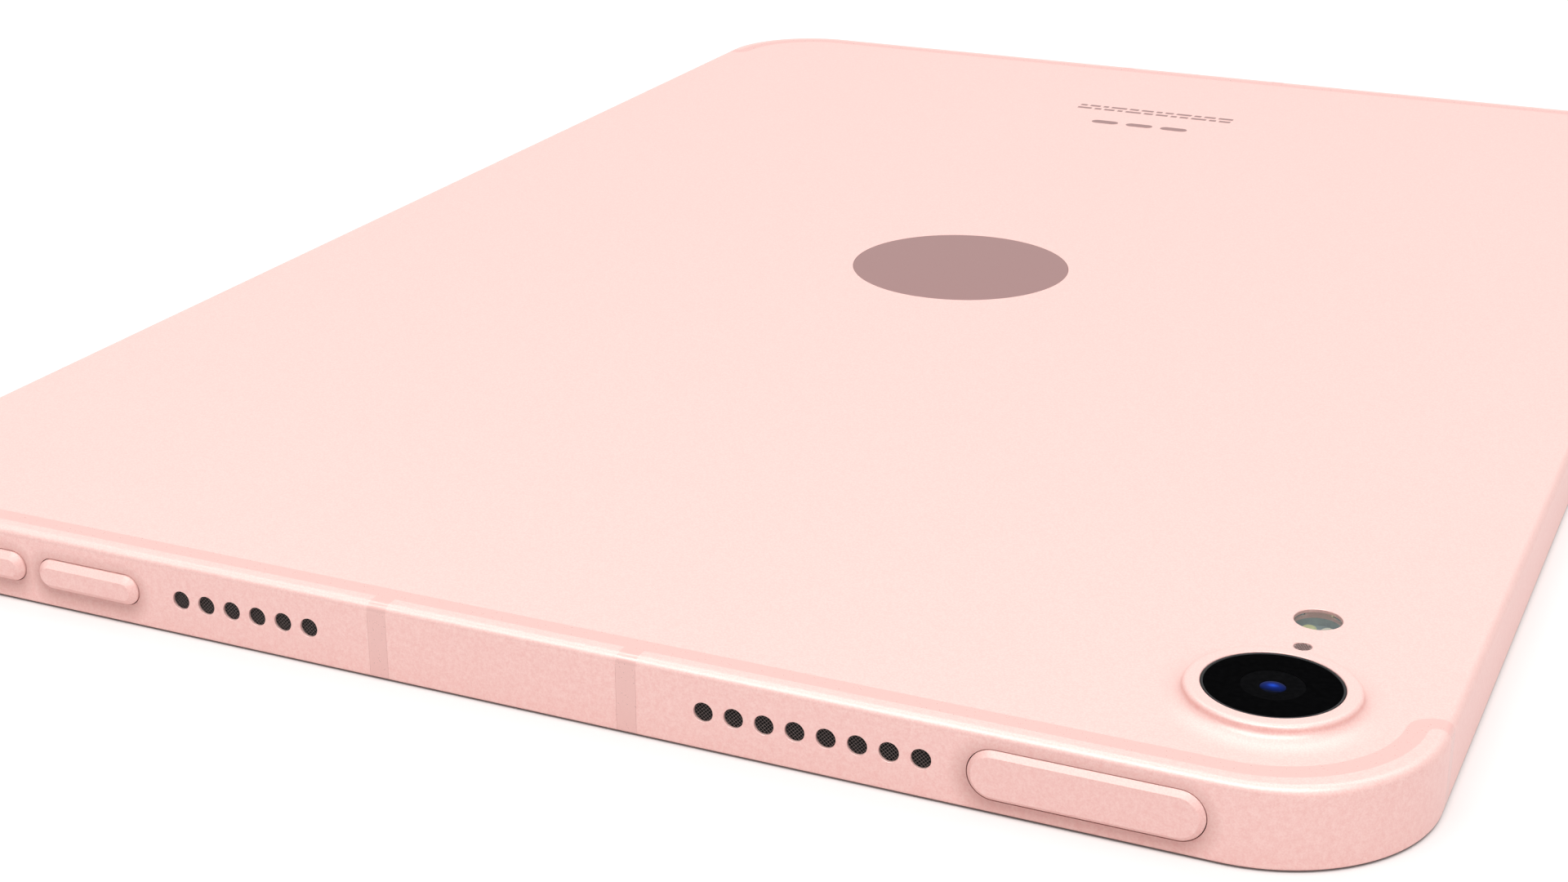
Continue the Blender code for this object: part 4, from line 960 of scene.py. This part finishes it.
def make_lens_barrel():
    """The focusing barrel under the window: threaded rings, a stepped mouth and its own lens."""
    low, high = box_mm("camera_lens_barrel")
    radius = (high.x - low.x) / 2
    top = high.z
    profile = [(radius - 0.15, low.z), (radius, low.z + 0.15)]
    level = low.z + 0.4
    while level < top - 0.5:
        profile += [(radius, level), (radius - THREAD, level + THREAD), (radius, level + 2 * THREAD)]
        level += 4 * THREAD
    mouth = BARREL_MOUTH
    profile += [(radius, top - 0.25), (radius - 0.2, top), (mouth, top), (mouth - 0.3, top - 0.3),
                (mouth - 0.5, top - 0.3), (mouth - 0.8, top - 0.6), (mouth - 1.1, top - 0.6)]
    lens_radius = mouth - 1.15
    for step in range(1, 8):
        angle = 0.5 * math.pi * step / 8
        profile.append((lens_radius * math.cos(angle), top - 0.65 + 0.25 * math.sin(angle)))
    barrel = turned_object("lens_barrel_threaded", profile, 96, CAMERA)
    piece(barrel, plastic_black, "camera_lens_body", ["camera_lens_barrel"])


FLASH_SET_BACK = 0.24
FLASH_BASE_HALF = 2.15
FLASH_BASE_THICK = 0.6
FLASH_CUP = (1.72, 1.86, 1.98)     # inner radius below, inner radius above, outer radius
EMITTER_RADIUS = 0.58
EMITTER_WALL = 0.2
EMITTER_HIGH = 0.45
EMITTER_OFFSET = (0.72, 0.45)
EMITTER_COLOURS = (("warm", -1, (0.66, 0.62, 0.30)), ("cool", 1, (0.74, 0.62, 0.50)))


def make_flash():
    low, module_low = box_mm("flash_window")[0], box_mm("flash_led_module")[0]
    top = THICKNESS - FLASH_SET_BACK
    radius = FLASH_RADIUS - 0.03
    profile = [(radius, low.z), (radius, top - 0.04), (radius - 0.04, top)]
    window = turned_object("flash_window_glass", profile, 96, FLASH.xy)
    piece(window, SLOT_MATERIALS["clear_glass"], replaces=["flash_window"])

    seat = module_low.z + FLASH_BASE_THICK
    outline = rounded_rectangle((FLASH_BASE_HALF, FLASH_BASE_HALF), 0.3, 6, FLASH.xy)
    base = mesh_object("flash_module_base", prism(bmesh.new(), outline, module_low.z, seat))
    cup_top = low.z - 0.05
    cup = [(FLASH_CUP[0], seat - 0.1), (FLASH_CUP[2], seat - 0.1), (FLASH_CUP[2], cup_top),
           (FLASH_CUP[1], cup_top)]
    carve(base, ("UNION", turned(bmesh.new(), cup, 64, FLASH.xy, True)))
    grey = moulded("flash_grey", (0.30, 0.34, 0.34), 0.35, 0.3, 0.05)
    piece(base, grey, replaces=["flash_led_module"])

    for label, sign, colour in EMITTER_COLOURS:
        profile = [(EMITTER_RADIUS, seat - 0.02)]
        profile += ease((EMITTER_RADIUS, seat + EMITTER_WALL), (0.08, seat + EMITTER_HIGH), 8, False)
        place_at = (FLASH.x + EMITTER_OFFSET[0] * sign, FLASH.y + EMITTER_OFFSET[1])
        emitter = turned_object("flash_emitter_" + label, profile, 40, place_at)
        piece(emitter, moulded("phosphor_" + label, colour, 0.4, 0.1, 0.1))


MIC_SET_BACK = 0.06
MIC_SCREEN_THICK = 0.11
MIC_HOLE_RADIUS = 0.087
MIC_HOLE_PITCH = 0.2


def make_microphone_screen():
    low = box_mm("rear_microphone_mesh")[0]
    top = THICKNESS - MIC_SET_BACK
    under = top - MIC_SCREEN_THICK
    radius = MIC_RADIUS - 0.02
    profile = [(radius, low.z), (radius, under - 0.01)]
    cup = turned_object("microphone_cup", profile, 48, MIC.xy)
    piece(cup, backing_black, replaces=["rear_microphone_mesh"])
    profile = [(radius, under), (radius, top)]
    screen = turned_object("microphone_screen", profile, 64, MIC.xy)
    holes = bmesh.new()
    row_height = MIC_HOLE_PITCH * math.sqrt(3.0) / 2.0
    rows = int(radius / row_height)
    for row in range(-rows, rows + 1):
        shift = 0.5 * MIC_HOLE_PITCH if row % 2 else 0.0
        for column in range(-rows - 1, rows + 2):
            spot = (column * MIC_HOLE_PITCH + shift, row * row_height)
            if math.hypot(*spot) < radius - 1.2 * MIC_HOLE_RADIUS:
                profile = [(MIC_HOLE_RADIUS, top - 0.3), (MIC_HOLE_RADIUS, top + 0.3)]
                turned(holes, profile, 10, (MIC.x + spot[0], MIC.y + spot[1]))
    carve(screen, ("DIFFERENCE", holes))
    pink_grey = moulded("screen_pink_grey", (0.36, 0.25, 0.235), 0.45, 0.1, 0.08, 0.1, 0.3)
    piece(screen, pink_grey)


make_camera_ring()
make_camera_window()
make_lens_barrel()
make_flash()
make_microphone_screen()


# ======== marks on the back ========

EMBLEM_CHAMFER = 0.02
MARK_LOW = 0.002
MARK_HIGH = 0.012
NAME_Y = 65.9
NAME_BAR_HALF = (1.75, 0.75)
NAME_BAR_PITCH = 4.6
SMALL_ROWS_Y = (72.35, 73.75)
SMALL_DASHES = (1.9, 0.9, 1.4, 0.7, 2.1, 1.2, 1.6, 0.8, 1.1, 2.0, 0.9, 1.5)
SMALL_GAP = 0.42
SMALL_HALF_HIGH = 0.36
SMALL_CORNER = 0.12


def make_emblem():
    radius = EMBLEM[1].x - 0.005
    profile = [(radius, THICKNESS - POCKET_DEPTH + 0.02), (radius, THICKNESS - EMBLEM_CHAMFER),
               (radius - EMBLEM_CHAMFER, THICKNESS)]
    emblem = turned_object("plain_round_inlay", profile, EMBLEM_SIDES, (0.0, 0.0))
    piece(emblem, emblem_mauve, replaces=["rear_emblem"])


def make_marks():
    """Plain printed bars where a real one carries its name and approvals."""
    low = THICKNESS + MARK_LOW
    high = THICKNESS + MARK_HIGH
    solid = bmesh.new()
    for index in (-1, 0, 1):
        prism(solid, obround(NAME_BAR_HALF, (NAME_BAR_PITCH * index, NAME_Y)), low, high)
    for row, y in enumerate(SMALL_ROWS_Y):
        dashes = SMALL_DASHES[row:] + SMALL_DASHES[:row]
        total = sum(dashes) + SMALL_GAP * (len(dashes) - 1)
        x = -total / 2
        for dash in dashes:
            half = (dash / 2, SMALL_HALF_HIGH)
            outline = rounded_rectangle(half, SMALL_CORNER, 4, (x + dash / 2, y))
            prism(solid, outline, low, high)
            x += dash + SMALL_GAP
    piece(mesh_object("plain_printed_bars", solid), emblem_mauve)


make_emblem()
make_marks()


# ======== display ========

GLASS_EDGE = 0.25
GLASS_CHAMFER = 0.06
SEAL_LIP = 0.05


def make_display():
    low, high = GLASS
    inset = HALF_WIDTH - high.x
    rings = []
    for radius, level in ease((GLASS_EDGE, low.z), (0.0, low.z + GLASS_EDGE), 6, False)[::-1]:
        rings.append((body_outline(inset + radius), level))
    rings = sorted(rings, key=lambda ring: ring[1])
    rings += [(body_outline(inset), high.z - GLASS_CHAMFER), (body_outline(inset + GLASS_CHAMFER), high.z)]
    glass = loft_object("display_cover_glass", rings)
    piece(glass, cover_glass, replaces=["display_glass"])

    low, high = box_mm("display_gasket")
    outer = HALF_WIDTH - high.x
    inner = outer + GASKET_WIDTH
    rings = [(body_outline(outer), low.z + SEAL_LIP), (body_outline(outer + SEAL_LIP), low.z),
             (body_outline(inner - SEAL_LIP), low.z), (body_outline(inner), low.z + SEAL_LIP),
             (body_outline(inner), high.z), (body_outline(outer), high.z)]
    gasket = loft_object("display_seal", rings, "Z", True)
    piece(gasket, rubber_black, replaces=["display_gasket"])


make_display()


# ======== port, tray and stylus window ========

CONTACT_HALF_WIDTH = 0.13
CONTACT_Y = (3.4, 0.35)     # how far each end of a contact lies inside the tongue's tip
CONTACT_PROUD = 0.03
TRAY_CHAMFER = 0.05
TRAY_OVERLAP = 0.3
CARD_FROM_END = 1.8
PINHOLE_RADIUS = 0.45
STYLUS_EDGE = 0.02


def make_port():
    low, high = box_mm("usb_c_shell")
    half, centre = end_view("usb_c_shell", 0)
    outer = obround(half, centre)
    inner = obround(half, centre, -SHELL_WALL)
    rings = [(inner, low.y), (outer, low.y), (outer, high.y - PORT_LIP),
             (obround(half, centre, -PORT_LIP), high.y),
             (obround(half, centre, PORT_LIP - SHELL_WALL), high.y), (inner, high.y - PORT_LIP)]
    shell = loft_object("port_shell", rings, "Y", True)
    piece(shell, tinned_steel, replaces=["usb_c_shell"])

    tip = box_mm("usb_c_tongue")[1].y
    contacts = bmesh.new()
    for face in (-1, 1):
        surface = centre[1] + face * TONGUE_HALF
        levels = (surface - CONTACT_PROUD, surface + CONTACT_PROUD)
        for index in range(CONTACTS):
            x = CONTACT_PITCH * (index - (CONTACTS - 1) / 2)
            box(contacts, (x - CONTACT_HALF_WIDTH, x + CONTACT_HALF_WIDTH),
                (tip - CONTACT_Y[0], tip - CONTACT_Y[1]), levels)
    pads = mesh_object("port_contacts", contacts)
    piece(pads, gold_plate)


def make_tray():
    """The tray's cap in the side wall, its plate with a pocket for the card, and the pinhole."""
    low, high = box_mm("sim_tray")
    half, centre = end_view("sim_tray", 1)
    level = centre[1]
    cap_inner = high.x - TRAY_CAP
    rings = [(obround(half, centre), cap_inner), (obround(half, centre), high.x - TRAY_CHAMFER),
             (obround(half, centre, -TRAY_CHAMFER), high.x)]
    tray = loft_object("card_tray_metal", rings, "X")

    plate = bmesh.new()
    plate_end = cap_inner + TRAY_OVERLAP
    plate_half = ((plate_end - low.x) / 2, TRAY_PLATE_HALF)
    outline = rounded_rectangle(plate_half, 0.6, 8, ((plate_end + low.x) / 2, TRAY_PLATE_Y))
    prism(plate, outline, level - TRAY_PLATE_THICK, level + TRAY_PLATE_THICK)

    pocket = bmesh.new()
    middle = (low.x + CARD_FROM_END + CARD_HALF[0], TRAY_PLATE_Y)
    through = (CARD_HALF[0] - CARD_LEDGE, CARD_HALF[1] - CARD_LEDGE)
    prism(pocket, rounded_rectangle(through, 0.4, 6, middle), level - 2.0, level + 2.0)
    prism(pocket, rounded_rectangle(CARD_HALF, 0.6, 6, middle), level - 0.15, level + 1.5)

    profile = [(PINHOLE_RADIUS, cap_inner - 1.0), (PINHOLE_RADIUS, high.x - 0.06),
               (PINHOLE_RADIUS + 0.13, high.x + 0.07)]
    pin = turned(bmesh.new(), profile, 32, (EJECT_Y, level), axis="X")
    carve(tray, ("UNION", plate), ("DIFFERENCE", pocket), ("DIFFERENCE", pin))
    piece(tray, metal_pink, "card_tray_body", ["sim_tray"])


def make_stylus_window():
    low, high = box_mm("stylus_window")
    size, centre = end_view("stylus_window", 1)
    half = (size[0] - 0.01, size[1] - 0.01)
    rings = [(obround(half, centre), low.x), (obround(half, centre), high.x - STYLUS_EDGE),
             (obround(half, centre, -STYLUS_EDGE), high.x)]
    window = loft_object("stylus_window_plastic", rings, "X")
    piece(window, band_pink, replaces=["stylus_window"])


make_port()
make_tray()
make_stylus_window()


# ======== parts kept from the frame ========

def finish_frame_nodes():
    """Give each CAD node that still shows the material of its record slot."""
    for entry in frame["record"]["subparts"]:
        node = frame["nodes"][entry["node"]]
        if not node.hide_render:
            node.data.materials.clear()
            node.data.materials.append(SLOT_MATERIALS[entry["material_slot"]])


finish_frame_nodes()


# ======== floor, light and camera ========

def occlusion(n, reach_mm, low, high):
    """How open the floor is to its surroundings within reach, stretched from 0 to 1."""
    made = n.add("ShaderNodeAmbientOcclusion", samples=12)
    made.inputs["Distance"].default_value = reach_mm * MM
    stretched = n.add("ShaderNodeMapRange")
    stretched.inputs["From Min"].default_value = low
    stretched.inputs["From Max"].default_value = high
    n.link(made.outputs["AO"], stretched.inputs["Value"])
    return stretched.outputs["Result"]


FLOOR_GREY = 0.4
FLOOR_GLOW = (0.58, 0.74)           # near the tablet, and further off
FLOOR_GLOW_REACH = (0.13, 0.45)     # metres
# Painted bounce: the pink tint of the floor's glow close to the metal, standing in for light bounced off
# it.
FLOOR_PAINTED_BOUNCE = (1.0, 0.87, 0.84)


def studio_floor():
    """A bright pale floor that glows: a painted contact shadow where something touches it, and a painted
    pink bounce of light close to the metal.
    """
    n = Nodes("studio_floor")
    n.tree.nodes.remove(n.shader)
    diffuse = n.add("ShaderNodeBsdfDiffuse")
    diffuse.inputs["Color"].default_value = (FLOOR_GREY, FLOOR_GREY, FLOOR_GREY, 1.0)
    glow = n.add("ShaderNodeEmission")
    # Painted contact shadow: the glow is cut where the floor is hemmed in. Painted bounce: the glow turns
    # pink within reach of the metal.
    painted_contact_shadow = occlusion(n, 1.2, 0.30, 0.62)
    painted_bounce = n.ramp(occlusion(n, 9.0, 0.45, 0.97), (0.0, FLOOR_PAINTED_BOUNCE), (1.0, (1.0, 1.0, 1.0)))
    n.link(painted_bounce, glow.inputs["Color"])
    away = n.add("ShaderNodeVectorMath", operation="LENGTH")
    n.link(n.coords.outputs["Object"], away.inputs[0])
    spread = n.add("ShaderNodeMapRange")
    for index, end in enumerate(("Min", "Max")):
        spread.inputs["From " + end].default_value = FLOOR_GLOW_REACH[index]
        spread.inputs["To " + end].default_value = FLOOR_GLOW[index]
    n.link(away.outputs["Value"], spread.inputs["Value"])
    n.link(n.math("MULTIPLY", painted_contact_shadow, spread.outputs["Result"]), glow.inputs["Strength"])
    both = n.add("ShaderNodeAddShader")
    n.link(diffuse.outputs["BSDF"], both.inputs[0])
    n.link(glow.outputs["Emission"], both.inputs[1])
    n.link(both.outputs["Shader"], n.output.inputs["Surface"])
    return n.material


FLOOR_HALF = 6.0            # metres
WORLD_STRENGTH = 0.62


def make_stage():
    solid = bmesh.new()
    bmesh.ops.create_grid(solid, x_segments=1, y_segments=1, size=FLOOR_HALF)
    floor = mesh_object("studio_floor", solid)
    floor.data.materials.append(studio_floor())

    world = bpy.data.worlds.new("studio")
    bpy.context.scene.world = world
    world.use_nodes = True
    background = world.node_tree.nodes["Background"]
    background.inputs["Color"].default_value = (1.0, 1.0, 1.0, 1.0)
    background.inputs["Strength"].default_value = WORLD_STRENGTH
    bpy.context.scene.view_settings.view_transform = "Standard"


LIGHT_DISTANCE = 1.6        # metres
SOFTBOXES = (               # name, direction, watts, size in metres
    ("front_softbox", (0.05, -0.39, 0.92), 18.0, (2.0, 0.6)),
    ("rear_softbox", (-0.1, 0.41, 0.87), 6.5, (2.0, 0.45)),
    ("corner_fill", (0.65, -0.65, 0.4), 2.0, (0.8, 0.6)),
)


def strip_light(name, direction, power, size):
    """A long softbox across X, aimed at the middle of the tablet."""
    data = bpy.data.lights.new(name, "AREA")
    data.shape = "RECTANGLE"
    data.size, data.size_y = size
    data.energy = power
    light = bpy.data.objects.new(name, data)
    bpy.context.scene.collection.objects.link(light)
    light.location = Vector(direction).normalized() * LIGHT_DISTANCE
    light.rotation_euler = (-light.location).to_track_quat("-Z", "Y").to_euler()


VIEW_PLACE = (0.087923, -0.241005, 0.087419)     # metres
VIEW_BEARING = math.radians(-24.2709)            # from +Y towards +X
VIEW_DROP = math.radians(21.5945)                # below the horizon
VIEW_LENS = 57.34


def make_camera_view():
    """The camera stands low in front of the button edge and looks along the back."""
    data = bpy.data.cameras.new("camera")
    data.sensor_width = 36.0
    data.lens = VIEW_LENS
    data.clip_start = 0.005
    data.clip_end = 50.0
    camera = bpy.data.objects.new("camera", data)
    bpy.context.scene.collection.objects.link(camera)
    level = math.cos(VIEW_DROP)
    ahead = Vector((math.sin(VIEW_BEARING) * level, math.cos(VIEW_BEARING) * level, -math.sin(VIEW_DROP)))
    camera.location = VIEW_PLACE
    camera.rotation_euler = ahead.to_track_quat("-Z", "Y").to_euler()
    bpy.context.scene.camera = camera


make_stage()
for softbox in SOFTBOXES:
    strip_light(*softbox)
make_camera_view()
